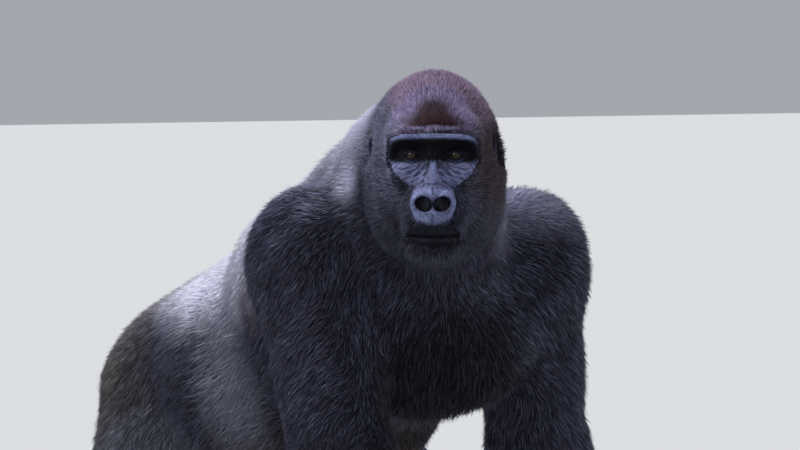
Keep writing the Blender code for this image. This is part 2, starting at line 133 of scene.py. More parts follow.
def addCamera(setup):
    data = bpy.data.cameras.new("camera")
    camera = bpy.data.objects.new("camera", data)
    scene.collection.objects.link(camera)
    back = directionFrom(setup["cameraTurn"], setup["cameraRise"])
    camera.rotation_mode = "QUATERNION"
    camera.rotation_quaternion = (-back).to_track_quat("-Z", "Y")
    turn = camera.rotation_quaternion.to_matrix()
    aim = turn @ Vector((*setup["aim"], 0))
    camera.location = Vector(fromHead(setup["headMiddle"])) + back * setup["distance"] + aim
    data.sensor_width = 36
    data.lens = data.sensor_width * setup["distance"] / setup["viewWidth"]
    scene.camera = camera


def addLamps(setup):
    for name, turn, rise, width, strength, colour in setup["lamps"]:
        data = bpy.data.lights.new(name, "SUN")
        data.angle, data.energy, data.color = math.radians(width), strength, colour
        lamp = bpy.data.objects.new(name, data)
        lamp.rotation_euler = directionFrom(turn, rise).to_track_quat("Z", "Y").to_euler()
        scene.collection.objects.link(lamp)
    world = bpy.data.worlds.new("studio")
    world.use_nodes = True
    background = world.node_tree.nodes["Background"]
    background.inputs["Color"].default_value = (*setup["worldColour"], 1)
    background.inputs["Strength"].default_value = setup["worldStrength"]
    scene.world = world
    scene.view_settings.view_transform = "Standard"


class Wire:
    # one output of a node; an expression on wires adds Math nodes
    def __init__(self, sheet, socket):
        self.sheet, self.socket = sheet, socket

    def maths(self, operation, *values):
        return self.sheet.make("ShaderNodeMath", {"operation": operation}, dict(enumerate(values)))

    def __add__(self, other):
        return self.maths("ADD", self, other)

    def __rsub__(self, other):
        return self.maths("SUBTRACT", other, self)

    def __mul__(self, other):
        return self.maths("MULTIPLY", self, other)

    def __pow__(self, other):
        return self.maths("POWER", self, other)

    def step(self, low, high):
        settings = {"interpolation_type": "SMOOTHSTEP"}
        return self.sheet.make("ShaderNodeMapRange", settings, {0: self, 1: low, 2: high})

    def __getitem__(self, output):
        return Wire(self.sheet, self.socket.node.outputs[output])

    __radd__, __rmul__ = __add__, __mul__


class Sheet:
    # a node tree that is filled by make()
    def __init__(self, tree):
        self.tree = tree

    def make(self, kind, settings=None, inputs=None, output=0):
        node = self.tree.nodes.new(kind)
        for name, value in (settings or {}).items():
            setattr(node, name, value)
        for key, value in (inputs or {}).items():
            if isinstance(value, Wire):
                self.tree.links.new(value.socket, node.inputs[key])
            else:
                node.inputs[key].default_value = value
        return Wire(self, node.outputs[output]) if len(node.outputs) else node

    def mixColour(self, factor, first, second):
        colours = {6: first, 7: second}
        for key, value in colours.items():
            colours[key] = value if isinstance(value, Wire) else (*value, 1)
        return self.make("ShaderNodeMix", {"data_type": "RGBA"}, {0: factor, **colours}, output=2)

    def vector(self, operation, first, second=None, output=0):
        inputs = {0: first} if second is None else {0: first, 1: second}
        return self.make("ShaderNodeVectorMath", {"operation": operation}, inputs, output)

    def scaled(self, vector, factor):
        return self.make("ShaderNodeVectorMath", {"operation": "SCALE"}, {0: vector, "Scale": factor})

    def part(self, vector, number):
        # its x, y or z
        return self.make("ShaderNodeSeparateXYZ", None, {0: vector}, number)

    def bump(self, height, strength, distance):
        inputs = {"Strength": strength, "Distance": distance, "Height": height}
        return self.make("ShaderNodeBump", None, inputs)

    def place(self):
        return self.make("ShaderNodeTexCoord", output=3)

    def inHead(self, place):
        # the place in the head's own frame
        return self.make("ShaderNodeMapping", {"vector_type": "TEXTURE"}, {
            "Vector": place, "Location": tuple(headOrigin), "Rotation": (0, 0, headTurn)})

    def noise(self, place, scale, detail=3.0, roughness=0.5, output=0):
        inputs = {"Vector": place, "Scale": scale, "Detail": detail, "Roughness": roughness}
        return self.make("ShaderNodeTexNoise", None, inputs, output)

    def attribute(self, name, output=2):
        return self.make("ShaderNodeAttribute", {"attribute_name": name}, None, output)

    def blob(self, place, centre, radii, inner, outer):
        # 1 inside a soft ellipsoid, 0 outside it
        apart = self.vector("DIVIDE", self.vector("SUBTRACT", place, centre), radii)
        return 1 - self.vector("LENGTH", apart, output=1).step(inner, outer)


def newMaterial(name):
    material = bpy.data.materials.new(name)
    material.use_nodes = True
    material.node_tree.nodes.clear()
    return material, Sheet(material.node_tree)


def finishMaterial(sheet, inputs):
    shader = sheet.make("ShaderNodeBsdfPrincipled", None, inputs)
    sheet.make("ShaderNodeOutputMaterial", None, {"Surface": shader})


def addFloor(setup):
    bpy.ops.mesh.primitive_plane_add(size=setup["floorSize"])
    floor = bpy.context.object
    floor.name = "floor"
    material, sheet = newMaterial("studioFloor")
    share, scale = setup["floorMottle"]
    low = tuple(share * c for c in setup["floorColour"])
    finishMaterial(sheet, {
        "Base Color": sheet.mixColour(sheet.noise(sheet.place(), scale), low, setup["floorColour"]),
        "Roughness": 0.85,
    })
    floor.data.materials.append(material)


addCamera(stageSetup)
addLamps(stageSetup)
addFloor(stageSetup)
print("stage, camera and lamps are ready")


# The head is a field of distances in its own frame: balls and limbs that join smoothly.

def ballField(points, centre, radii, turn=(0, 0, 0)):
    local = points - np.array(centre)
    if any(turn):
        local = local @ np.array(Euler([math.radians(a) for a in turn]).to_matrix())
    radii = np.array(radii)
    near, steep = lengthOf(local / radii), lengthOf(local / radii ** 2)
    return near * (near - 1) / np.maximum(steep, 1e-9)


def limbField(points, start, end, radius, endRadius):
    share, gap = nearestOn(np.array(start), np.array(end), points)
    return gap - radius - share * (endRadius - radius)


def joined(first, second, blend):
    share = np.clip(0.5 + 0.5 * (second - first) / blend, 0, 1)
    return second + (first - second) * share - blend * share * (1 - share)


def cutBy(first, second, blend):
    return -joined(-first, second, blend)


lean = -0.004   # the braincase, the ears and their coat lean to the animal's right


def inMetres(table):
    # a table of tables of millimetres
    if isinstance(table, dict):
        return {name: inMetres(entry) for name, entry in table.items()}
    return tuple(map(inMetres, table)) if isinstance(table, tuple) else table / 1000


# each ball: centre, radii, blend; each limb: start, end, radius, end radius, blend
headShape = inMetres({
    "braincase": ((0, 18, -28), (92.5, 112, 148), 30),
    "forehead": ((0, -60, 26), (72, 58, 50), 30),
    "faceMiddle": ((0, -55, -55), (68, 68, 85), 30),
    "muzzle": ((0, -100, -85), (52, 66, 46), 25),
    "lowerJaw": ((0, -78, -132), (47, 66, 34), 25),
    "cheek": ((44, -15, -80), (48, 72, 72), 30),
    "browMiddle": ((0, -118.5, 30), (38, -116.5, 32), 12, 12, 10),
    "browOuter": ((38, -116.5, 32), (60, -98, 24), 12, 11, 6),
    "browFoot": ((60, -98, 24), (64, -88, -6), 11, 9.5, 6),
    "cheekbone": ((37, -96, -25), (31, 24, 21.5), 10),
    "socket": ((35, -132, 7), (27, 24, 14.5), 12),
    "bridge": ((0, -109, 12), (0, -133, -33), 11, 14, 12),
    "noseBack": ((0, -133, -33), (0, -150, -56), 14, 13, 10),
    "upperLip": ((0, -137, -99), (46, 29, 24), 16),
    "lowerLip": ((0, -129, -136), (38, 28, 21), 10),
    "noseWing": ((18.5, -152, -67.5), (17.5, 19, 20), 5),
    "lid": ((32.5, -104, 1), (18, 14.2, 12.8), 9),
    "noseBase": ((0, -156, -84), (26, 15, 12), 8),
    "noseTip": ((0, -160, -58.5), (6, 8, 9.5), 6),
    "nostril": ((13.2, -166, -68), (12.1, 27, 10), 3.4),
    "ear": ((88.5, 20, 4), (8, 16.5, 22.5), 5),
    "earHollow": ((96.8, 16, 7), (6.2, 10, 14.5), 3),
    "earLobe": ((90.5, 12, -17), (4.2, 6.5, 7), 4),
})

braincaseTilt = -10   # degrees
nostrilTilt = 22      # the outer end of each nostril is raised
earTilt = (10, 24)    # each ear leans back and stands off the head

lidOpening = {
    "centre": (0.0325, -0.105, 0.0008),
    "halfWidth": 0.0105,
    "up": 0.0044,
    "down": 0.0041,
    "radius": 0.0122,
    "behind": 0.0016,      # the skin goes this far behind the eyeball's surface
    "edge": (0.8, 1.15),   # shares of the opening over which the lids' rims curve in
    "reach": 0.03,
}

# folds of the face as lines seen from the front, in millimetres: x and z in the head's frame, depth
# and width; a negative depth is a ridge, and each line has its twin on the other side
faceFolds = (
    (((4.5, 6), (6.2, -8), (9.5, -21), (16.5, -32)), 2.6, 1.9),         # bridge
    (((0, 14), (0.8, 2), (0, -12)), 1.4, 1.6),
    (((9.8, -4), (12.5, -13), (20, -23), (31, -33)), 2.4, 1.7),
    (((15, -8), (23, -17.5), (34, -24), (47, -29)), 1.6, 1.5),
    (((23, -12.5), (33, -16.5), (45, -19), (58, -18.5)), 1.5, 1.5),
    (((29, -29), (37, -32), (46, -33)), 1.2, 1.4),
    (((21, -31), (28, -37.5), (35, -40.5)), 1.2, 1.4),
    (((11, -33), (20, -39), (30, -45)), 1.3, 1.6),
    (((47, -1.5), (56, -4.5), (66, -10)), 1.2, 1.3),
    (((46, -7), (55, -10.5), (64, -13)), 1.1, 1.3),
    (((0, 25.5), (30, 25), (54, 20.5)), 1, 2),                          # under the brow's rim
    (((21, 10.5), (33, 13.5), (45, 10)), 0.7, 1.4),                     # over the upper lid
    (((21.5, 1), (32.5, 6.2), (44, 1.2)), -1, 1.2),                     # edge of the upper lid
    (((21.5, -1.2), (32.5, -6), (44, -1.4)), -1, 1.2),                  # and of the lower
    (((20, -6.5), (32.5, -10.8), (46, -6.8)), 1.2, 1.3),
    (((20, -42.5), (34, -48), (39.5, -62), (38.5, -80), (28, -93.5),
      (14, -99), (0, -100)), 3.4, 2.8),                                 # round the nose pad
    (((0, -40), (9, -39.5), (18, -43)), 1, 1.5),
    (((0, -45), (0.6, -56)), 1.2, 1.8),
    (((0, -85), (0.6, -96), (0, -106)), 0.9, 1.8),
    (((0, -116.5), (20, -116), (38, -114.5), (48, -113)), 3, 2.2),      # mouth
    (((0, -121.2), (20, -120.4), (40, -118)), -1.8, 2.4),               # lower lip
    (((6, -102), (7.5, -112)), 0.6, 1.6),
    (((18, -102), (21, -111)), 0.6, 1.6),
)

# painted highlights and painted shade of the bare face as lines and patches in the same plane: lines, their
# width and strength
highlightLines = (
    (((0, 30), (30, 30.6), (47, 29.4), (59, 24)), 4, 1.0),              # brow's rim
    (((59, 24), (66.5, 14), (69.5, 0)), 2.6, 0.7),
    (((22.5, -4.8), (32.5, -8.2), (43, -5)), 1.3, 0.9),                 # lower lid
    (((23.5, 4.2), (32.5, 6.8), (41, 4.6)), 0.9, 0.45),
    (((0, -8), (0, -43)), 4.5, 0.42),                                   # ridge of the nose
    (((11, -9), (16, -26), (26, -40)), 4, 0.5),
    (((23, -14), (38, -21), (56, -23)), 3, 0.45),
    (((0, -50), (11, -50.5), (24, -52.5), (32, -64), (32, -78),
      (20, -89), (0, -90)), 5, 0.6),                                    # rim of the nose pad
)

shadePatches = (   # painted shade in the eye sockets under the brow, and under the mouth over the lower lip and chin: centre x and z, half width and height, and how soft
    ((0, 10.5), (30, 16.5), 0.16),
    ((36, 8), (31, 17.5), 0.16),
    ((50, 6), (19, 15.5), 0.2),
    ((0, -140), (56, 20.5), 0.35),
)

nosePad = {"centre": (0, -69), "halves": (38, 30), "power": 2.1, "soft": (0.92, 1.06)}


def sided(shape, side):
    # a ball or limb, or with side -1 the same one on the other side of the head
    return tuple((side * part[0], *part[1:]) if i == 0 or (len(shape) == 5 and i == 1) else part
                 for i, part in enumerate(shape))


faceView = {"front": (-0.08, -0.066), "halfWidth": 0.08, "middle": -0.055, "halfHeight": 0.105}


def frontOfFace(points):
    # which points are on the face's front, their places from there in millimetres, and how much they are
    across, height = np.abs(points[:, 0]), points[:, 2]
    front = 1 - smoothStep(points[:, 1], *faceView["front"])
    seen = np.nonzero((front > 0) & (across < faceView["halfWidth"])
                      & (np.abs(height - faceView["middle"]) < faceView["halfHeight"]))[0]
    return seen, 1000 * np.stack([across[seen], height[seen]], axis=1), front[seen]


def fromLine(flat, line):
    # the gap from each flat point to a line, and how far along it the nearest place is
    line = np.array(line)
    nearest, place = np.full(len(flat), np.inf), np.zeros(len(flat))
    for number, (start, end) in enumerate(zip(line[:-1], line[1:])):
        share, gap = nearestOn(start, end, flat)
        closer = gap < nearest
        nearest[closer] = gap[closer]
        place[closer] = (number + share[closer]) / (len(line) - 1)
    return nearest, place


# shares of a fold over which its ends fade; one that starts nearer the middle has no first end
foldEnds = {"atMiddle": 4, "start": 0.2, "end": 0.25}


def foldDepth(points):
    depth = np.zeros(len(points))
    seen, flat, front = frontOfFace(points)
    for line, deep, width in faceFolds:
        nearest, place = fromLine(flat, line)
        ends = smoothStep(1 - place, 0, foldEnds["end"])
        if line[0][0] >= foldEnds["atMiddle"]:
            ends = ends * smoothStep(place, 0, foldEnds["start"])
        depth[seen] += deep * ends * np.exp(-(nearest / width) ** 2) * front
    return depth / 1000


toneSetup = {
    "lipsFrom": (70, 84),          # millimetres down the face
    "lips": 0.93,                  # how dark the painted shade under the nose pad makes the lips
    "paleShows": 0.22,             # how much of the painted shade a line of painted highlight takes away
    # painted shade inside the nostrils
    "insideNostril": (1.02, 1.22),
    "squash": (1, 1, 0.8),
    "middle": (0, -0.12, -0.03),   # from here, squashed, the skin beyond the face is darker
    "beside": (0.11, 0.13, 0.62),
    "far": (0.25, 0.4, 0.26),      # hands and feet
    "creaseAt": 0.0016,            # depth of a fold painted fully in shade, and height of one painted fully as a highlight
    "ridgeAt": 0.0012,
    "ridge": 0.6,
}


def faceTones(points):
    # the painted highlights, the painted shade over the dark skin, and the painted shade in the creases of
    # the bare face at each point
    pale, dark, crease = np.zeros((3, len(points)))
    seen, flat, front = frontOfFace(points)
    # painted highlights along the lines
    for line, width, strength in highlightLines:
        nearest, place = fromLine(flat, line)
        pale[seen] = np.maximum(pale[seen], strength * np.exp(-(nearest / width) ** 2) * front)
    for centre, halves, soft in shadePatches:
        apart = np.linalg.norm((flat - centre) / np.array(halves), ord=4, axis=1)
        dark[seen] = np.maximum(dark[seen], (1 - smoothStep(apart, 1 - soft, 1 + soft)) * front)
    # painted shade under and beside the nose pad, over the lips
    apart = (flat - nosePad["centre"]) / np.array(nosePad["halves"])
    apart = np.linalg.norm(apart, ord=nosePad["power"], axis=1)
    lips = smoothStep(apart, *nosePad["soft"]) * smoothStep(-flat[:, 1], *toneSetup["lipsFrom"]) * front
    dark[seen] = np.maximum(dark[seen], lips * toneSetup["lips"])
    dark[seen] *= 1 - toneSetup["paleShows"] * pale[seen]
    # painted shade inside the nostrils
    for side in (-1, 1):
        centre, radii, _ = sided(headShape["nostril"], side)
        turn = np.array(Euler((0, math.radians(-side * nostrilTilt), 0)).to_matrix())
        inside = lengthOf((points - centre) @ turn / radii)
        dark = np.maximum(dark, 1 - smoothStep(inside, *toneSetup["insideNostril"]))
    off = lengthOf(points * toneSetup["squash"] - toneSetup["middle"])
    spans = (toneSetup["beside"], toneSetup["far"])
    dark = np.maximum(dark, sum(share * smoothStep(off, near, far) for near, far, share in spans))
    # painted shade in the folds, and painted highlights on the ridges
    folds = foldDepth(points)
    crease = np.clip(folds / toneSetup["creaseAt"], 0, 1)
    ridgeHighlights = toneSetup["ridge"] * np.clip(-folds / toneSetup["ridgeAt"], 0, 1)
    return np.maximum(pale, ridgeHighlights), dark, crease


def headField(points):
    field = np.full(len(points), 1.0)

    def add(name, side=1, cut=False, turn=(0, 0, 0), shift=0.0):
        nonlocal field
        *shape, blend = sided(headShape[name], side)
        if len(shape) == 4:
            other = limbField(points, *shape)
        else:
            other = ballField(points - (shift, 0, 0), *shape, turn)
        field = (cutBy if cut else joined)(field, other, blend)

    add("braincase", turn=(braincaseTilt, 0, 0), shift=lean)
    for name in ("forehead", "faceMiddle", "muzzle", "lowerJaw"):
        add(name)
    for side in (-1, 1):
        add("cheek", side, shift=lean / 2)
    for side in (-1, 1):
        for name in ("browMiddle", "browOuter", "browFoot", "cheekbone"):
            add(name, side)
        add("socket", side, cut=True)
    for name in ("bridge", "noseBack", "upperLip", "lowerLip"):
        add(name)
    for side in (-1, 1):
        add("noseWing", side)
        add("lid", side)
    add("noseBase")
    add("noseTip")
    for side in (-1, 1):
        earTurn = (earTilt[0], 0, side * earTilt[1])
        add("nostril", side, cut=True, turn=(0, -side * nostrilTilt, 0))
        add("ear", side, turn=earTurn, shift=lean)
        add("earLobe", side, shift=lean)
        add("earHollow", side, cut=True, turn=earTurn, shift=lean)
    return field + foldDepth(points)


def fieldSlope(field, points, values, reach=2e-4):
    return unit(np.stack([field(points + step) - values for step in np.eye(3) * reach], axis=1))


skinSetup = {
    "swell": 0.001,          # closes the thin cuts between the nodes
    "voxel": 0.003,
    "bodyShare": 0.045,      # triangles kept on trunk and limbs, then on hands and feet
    "handShare": 0.22,
    "fineBelow": 0.15,       # hands and feet reach up to here
    "fineEdge": 0.03,
    "faceSpare": 0.012,      # round the face nothing is thinned as far as this
    "bodyRounds": 26,        # smoothing of trunk and limbs, then of hands and feet
    "handRounds": 9,
    "bodyPull": 0.6,         # how far each round goes, and how far it steps back
    "stepBack": 1.02,
    "lastRounds": 6,         # the last smoothing, above the hands and feet
    "lastAbove": (0.1, 0.16),
    "coatDepth": {           # from the skin to the coat's outline, for each node
        "head": 0.0055, "jaw": 0.005, "ear": 0.0004, "neck": 0.0085, "chest": 0.0085, "abdomen": 0.0085,
        "pelvis": 0.0085, "upper_arm": 0.008, "forearm": 0.009, "hand": 0.001, "thigh": 0.0085,
        "shank": 0.008, "foot": 0.0008,
    },
    "depthRounds": 24,
    "leastDepth": 0.0002,
    "spans": (("hand", "forearm", (0.105, 0.2)), ("foot", "shank", (0.04, 0.11))),
}

fleshNodes = sorted(name for name in nodes if not name.startswith("eye"))


def partOf(name):
    # the entry of a dictionary that a node's name starts with
    return next(part for part in skinSetup["coatDepth"] if name.startswith(part))


def ownedBy(owners, names):
    return np.isin(owners, [number for number, name in enumerate(fleshNodes) if name in names])


def perPoint(table, points, owners):
    # each point's entry in a table of the body's parts; hands and feet pass slowly into the limb above
    values = np.array([table[partOf(name)] for name in fleshNodes], float)[owners]
    for part, limb, span in skinSetup["spans"]:
        own = ownedBy(owners, (part + "_left", part + "_right"))
        share = own * smoothStep(points[:, 2], *span)
        values += np.outer(share, np.subtract(table[limb], table[part])).reshape(values.shape)
    return values


def opened(mesh):
    bm = bmesh.new()
    bm.from_mesh(mesh)
    return bm


def meshFrom(bm, name):
    # a mesh of what bm holds, which is freed
    mesh = bpy.data.meshes.new(name)
    bm.to_mesh(mesh)
    bm.free()
    return mesh


def plainObject(name, mesh):
    thing = bpy.data.objects.new(name, mesh)
    scene.collection.objects.link(thing)
    return thing


def frozen(thing, name):
    # a plain mesh of the object with its modifiers applied; the object is removed
    bpy.context.view_layer.update()
    evaluated = thing.evaluated_get(bpy.context.evaluated_depsgraph_get())
    mesh = bpy.data.meshes.new_from_object(evaluated)
    mesh.name = name
    bpy.data.objects.remove(thing)
    return mesh


def arrays(mesh):
    points = np.empty(len(mesh.vertices) * 3)
    mesh.vertices.foreach_get("co", points)
    ends = np.empty(len(mesh.edges) * 2, int)
    mesh.edges.foreach_get("vertices", ends)
    return points.reshape(-1, 3), ends.reshape(-1, 2)


def setPoints(mesh, points):
    mesh.vertices.foreach_set("co", points.astype(np.float32).ravel())
    mesh.update()


def averaged(values, ends, rounds, share=0.5, back=0.0):
    # each point's value moves towards the mean of its neighbours; share may differ from point to point,
    # and a step back after each round keeps a shape from shrinking
    count = len(values)
    both = np.concatenate([ends, ends[:, ::-1]])
    near = np.maximum(np.bincount(both[:, 0], minlength=count), 1)
    columns = np.atleast_2d(values.T)
    for _ in range(rounds):
        for pull in (share, -back * share)[:2 if back else 1]:
            columns = np.array([
                column + pull * (np.bincount(both[:, 0], column[both[:, 1]], count) / near - column)
                for column in columns])
    return columns.T if values.ndim > 1 else columns[0]


def normalsOf(mesh):
    normals = np.empty(len(mesh.vertices) * 3, np.float32)
    mesh.vertices.foreach_get("normal", normals)
    return normals.reshape(-1, 3).astype(float)


def fleshShell(setup):
    shell = bmesh.new()
    for name in fleshNodes:
        if name.startswith("ear"):   # the ears are drawn from the head's field
            continue
        part = opened(nodes[name].data)
        bmesh.ops.remove_doubles(part, verts=part.verts, dist=1e-5)
        part.normal_update()
        for vert in part.verts:
            vert.co += vert.normal * setup["swell"]
        mesh = meshFrom(part, "swollen")
        shell.from_mesh(mesh)
        bpy.data.meshes.remove(mesh)
    thing = plainObject("shell", meshFrom(shell, "shell"))
    remesh = thing.modifiers.new("remesh", "REMESH")
    remesh.mode, remesh.voxel_size = "VOXEL", setup["voxel"]
    return frozen(thing, "shell")


def nearestNodes(points):
    # the flesh node whose surface is nearest to each point
    corners, faces, owners = [], [], []
    start = 0
    for number, name in enumerate(fleshNodes):
        mesh = nodes[name].data
        corners += [vert.co for vert in mesh.vertices]
        faces += [[start + v for v in face.vertices] for face in mesh.polygons]
        owners += [number] * len(mesh.polygons)
        start += len(mesh.vertices)
    tree = BVHTree.FromPolygons(corners, faces)
    return np.array([owners[tree.find_nearest(point)[2]] for point in points])


fineBalls = {   # centre and radii, in the head's frame and mirrored, of what gets finer triangles
    "faceAndEars": (((0, -0.115, -0.045), (0.084, 0.085, 0.105)),
                    ((0.092, 0.018, 0.004), (0.02, 0.026, 0.03))),
    "eyesNoseAndMouth": (((0.03, -0.11, -0.006), (0.036, 0.04, 0.026)),
                         ((0, -0.15, -0.06), (0.038, 0.046, 0.04)),
                         ((0, -0.15, -0.1175), (0.05, 0.05, 0.009))),
}


def inBalls(points, balls, spare=0.0):
    local = mirrored(toHead(points))
    return np.any([lengthOf((local - centre) / (np.array(radii) + spare)) < 1
                   for centre, radii in fineBalls[balls]], axis=0)


def thinned(mesh, chosen, share):
    # fewer triangles where chosen is true
    thing = plainObject("thinned", mesh)
    thing.vertex_groups.clear()
    group = thing.vertex_groups.new(name="thin")
    group.add([int(i) for i in np.nonzero(chosen)[0]], 1.0, "REPLACE")
    thin = thing.modifiers.new("thin", "DECIMATE")
    thin.ratio = float(1 - chosen.mean() * (1 - share))
    thin.vertex_group = "thin"
    return frozen(thing, "skin")


def refine(mesh, balls):
    # halves the edges that lie in the balls
    bm = opened(mesh)
    wanted = inBalls(np.array([vert.co for vert in bm.verts]), balls)
    bm.verts.index_update()
    edges = [edge for edge in bm.edges if all(wanted[vert.index] for vert in edge.verts)]
    bmesh.ops.subdivide_edges(bm, edges=edges, cuts=1, use_grid_fill=True)
    bm.to_mesh(mesh)
    bm.free()


bareShape = {
    # half the bare face's width at heights in the head's frame
    "heights": (-0.15, -0.136, -0.126, -0.1165, -0.108, -0.101, -0.096, -0.09, -0.08, -0.066, -0.052,
                -0.0445, -0.037, -0.026, -0.015, 0.0, 0.018, 0.028, 0.033, 0.0368),
    "widths": (-0.02, -0.01, 0.026, 0.045, 0.043, 0.038, 0.034, 0.034, 0.038, 0.038, 0.0355,
               0.037, 0.048, 0.059, 0.066, 0.0695, 0.069, 0.064, 0.054, -0.02),
    "frontOf": (-0.046, -0.054),   # the bare face begins between these, from back to front
    "edge": 0.0055,                # how softly its outline passes into the coat
    "depthEdge": 0.014,            # and how softly the coat grows thick from there
    "hand": (0.06, 0.1),           # fingers are bare below the first height, furred above the second
    "foot": (0.022, 0.036),
    "earMiddle": (0.096, 0.019, 0.003),
    "ear": (0.013, 0.021),         # bare within the first radius, furred beyond the second
    "earSquash": (1, 1, 0.75),
}


def bareness(points, owners, edge):
    # 1 on bare skin, 0 under the coat
    local = toHead(points)
    across = np.abs(local[:, 0])
    width = np.interp(local[:, 2], bareShape["heights"], bareShape["widths"])
    back, front = bareShape["frontOf"]
    face = smoothStep(width - across, -edge, edge) * (1 - smoothStep(local[:, 1], front, back))
    names = np.array(fleshNodes)[owners]
    hands, feet = (np.char.startswith(names, part) * (1 - smoothStep(points[:, 2], *bareShape[part]))
                   for part in ("hand", "foot"))
    fromEar = (mirrored(local, lean) - bareShape["earMiddle"]) * bareShape["earSquash"]
    ears = 1 - smoothStep(lengthOf(fromEar), *bareShape["ear"])
    return np.maximum.reduce([face, hands, feet, ears])


headBlend = {   # where the skin follows the head's own field
    "point": (0, 0.045, -0.04),       # a plane across the neck, in the head's frame
    "normal": (0, 0.909, -0.417),
    "neck": (-0.105, -0.075),         # from the plane: wholly up to the first, not at all from the second
    "middle": (0, -0.03, -0.03),
    "reach": 0.24,
    "earMiddle": (0.092, 0.018, 0.004),
    "ear": (0.028, 0.044),            # the same, from the middle of the ear
    "rounds": 5,
    "step": 0.004,                    # at most this far in each round
}


def headShare(local):
    # how far a point belongs to the head's own field: the neck's plane bounds it behind
    apart = (local - headBlend["point"]) @ np.array(headBlend["normal"])
    near = lengthOf(local - headBlend["middle"]) < headBlend["reach"]
    ears = 1 - smoothStep(lengthOf(mirrored(local, lean) - headBlend["earMiddle"]), *headBlend["ear"])
    return np.maximum(near * (1 - smoothStep(apart, *headBlend["neck"])), ears)


def drawnOnHead(points, depth):
    # moves the head's points onto the level of its field that lies that far under the coat
    local = toHead(points)
    share = headShare(local)
    chosen = np.nonzero(share > 0)[0]
    moving = local[chosen]
    for _ in range(headBlend["rounds"]):
        values = headField(moving)
        move = np.clip(values + depth[chosen], -headBlend["step"], headBlend["step"])
        moving -= move[:, None] * fieldSlope(headField, moving, values)
    local[chosen] += share[chosen, None] * (moving - local[chosen])
    return fromHead(local)


def withOpenLids(points, setup):
    # presses the skin between the lids back behind the eyeball
    local = toHead(points)
    for side in (-1, 1):
        centre = np.array(setup["centre"]) * (side, 1, 1)
        off = local - centre
        across = np.clip(np.abs(off[:, 0]) / setup["halfWidth"], 0, 1)
        reach = np.where(off[:, 2] > 0, setup["up"], setup["down"])
        gap = np.abs(off[:, 2]) / np.maximum(reach * (1 - across ** 2), 1e-5)
        flat = np.hypot(off[:, 0], off[:, 2])
        ball = np.sqrt(np.maximum(setup["radius"] ** 2 - flat ** 2, 0))
        ball = centre[1] - ball + setup["behind"]
        near = (flat < setup["radius"]) & (np.abs(off[:, 1]) < setup["reach"]) & (off[:, 1] < 0)
        share = near * (1 - smoothStep(gap, *setup["edge"]))
        local[:, 1] += share * np.maximum(ball - local[:, 1], 0)
    return fromHead(local)


def makeSkin(setup):
    mesh = fleshShell(setup)
    points, _ = arrays(mesh)
    fine = (points[:, 2] < setup["fineBelow"]) | inBalls(points, "faceAndEars", setup["faceSpare"])
    mesh = thinned(mesh, ~fine, setup["bodyShare"])
    points, _ = arrays(mesh)
    mesh = thinned(mesh, points[:, 2] < setup["fineBelow"], setup["handShare"])
    points, ends = arrays(mesh)
    high = smoothStep(points[:, 2] - setup["fineBelow"], -setup["fineEdge"], setup["fineEdge"])
    points = averaged(points, ends, setup["handRounds"], back=setup["stepBack"])
    pull = setup["bodyPull"] * high * (1 - headShare(toHead(points)))
    setPoints(mesh, averaged(points, ends, setup["bodyRounds"], pull, setup["stepBack"]))
    refine(mesh, "faceAndEars")
    refine(mesh, "eyesNoseAndMouth")
    points, ends = arrays(mesh)
    owners = nearestNodes(points)
    bare, softBare = (bareness(points, owners, bareShape[edge]) for edge in ("edge", "depthEdge"))
    depth = averaged(perPoint(setup["coatDepth"], points, owners), ends, setup["depthRounds"])
    depth = depth * (1 - softBare) + setup["leastDepth"]
    inner = points - normalsOf(mesh) * (depth + setup["swell"])[:, None]
    share = headShare(toHead(points))
    points = inner + share[:, None] * (drawnOnHead(points, depth) - inner)
    pull = 0.5 * (1 - share) * smoothStep(points[:, 2], *setup["lastAbove"])
    points = averaged(points, ends, setup["lastRounds"], pull, setup["stepBack"])
    points[:, 2] = np.maximum(points[:, 2], 0)
    setPoints(mesh, withOpenLids(points, lidOpening))
    mesh.shade_smooth()
    return mesh, owners, bare, depth


lieSetup = {
    "rounds": 90,
    "ways": {   # for each node: towards the middle of another node, and a steady way; x is outwards
        "head": (None, (0, 0, 0)), "jaw": (None, (0, 0, 0)), "ear": (None, (0, 1, 0)),
        "neck": ("chest", (0.5, 1.2, -0.6)), "chest": (None, (0.9, 0.9, -1.0)),
        "abdomen": (None, (0.4, 1.0, -0.7)), "pelvis": (None, (0.3, 0.7, -1.0)),
        "upper_arm": ("forearm", (1.3, 0.7, 0)), "forearm": ("hand", (0.3, 0.5, 0)),
        "hand": (None, (0, 0.1, -1.0)), "thigh": ("shank", (0, 0.1, 0)), "shank": ("foot", (0, 0.4, 0)),
        "foot": (None, (0, -1.0, -0.3)),
    },
    "pull": 0.9,
    "towards": 2,                     # strength of the way to the other node
    "outwardsFrom": 0.1,              # on the trunk the outward part grows to full at this distance
    "parting": (0, -0.13, -0.04),     # in the head's frame: the hair points away from here
    "partingSquash": (1, 0.7, 1),
    "waves": 0.16,                    # slow swirls in the lie, and how much calmer they are on the head
    "calmHead": 0.7,
    "swirls": (
        (((31, 17, -23), (-19, 37, 29), (23, -29, 41)), (0.3, 1.7, 4.1)),
        (((73, -47, 61), (59, 67, -53), (-61, 71, 43)), (2.3, 0.7, 1.1)),
    ),
}


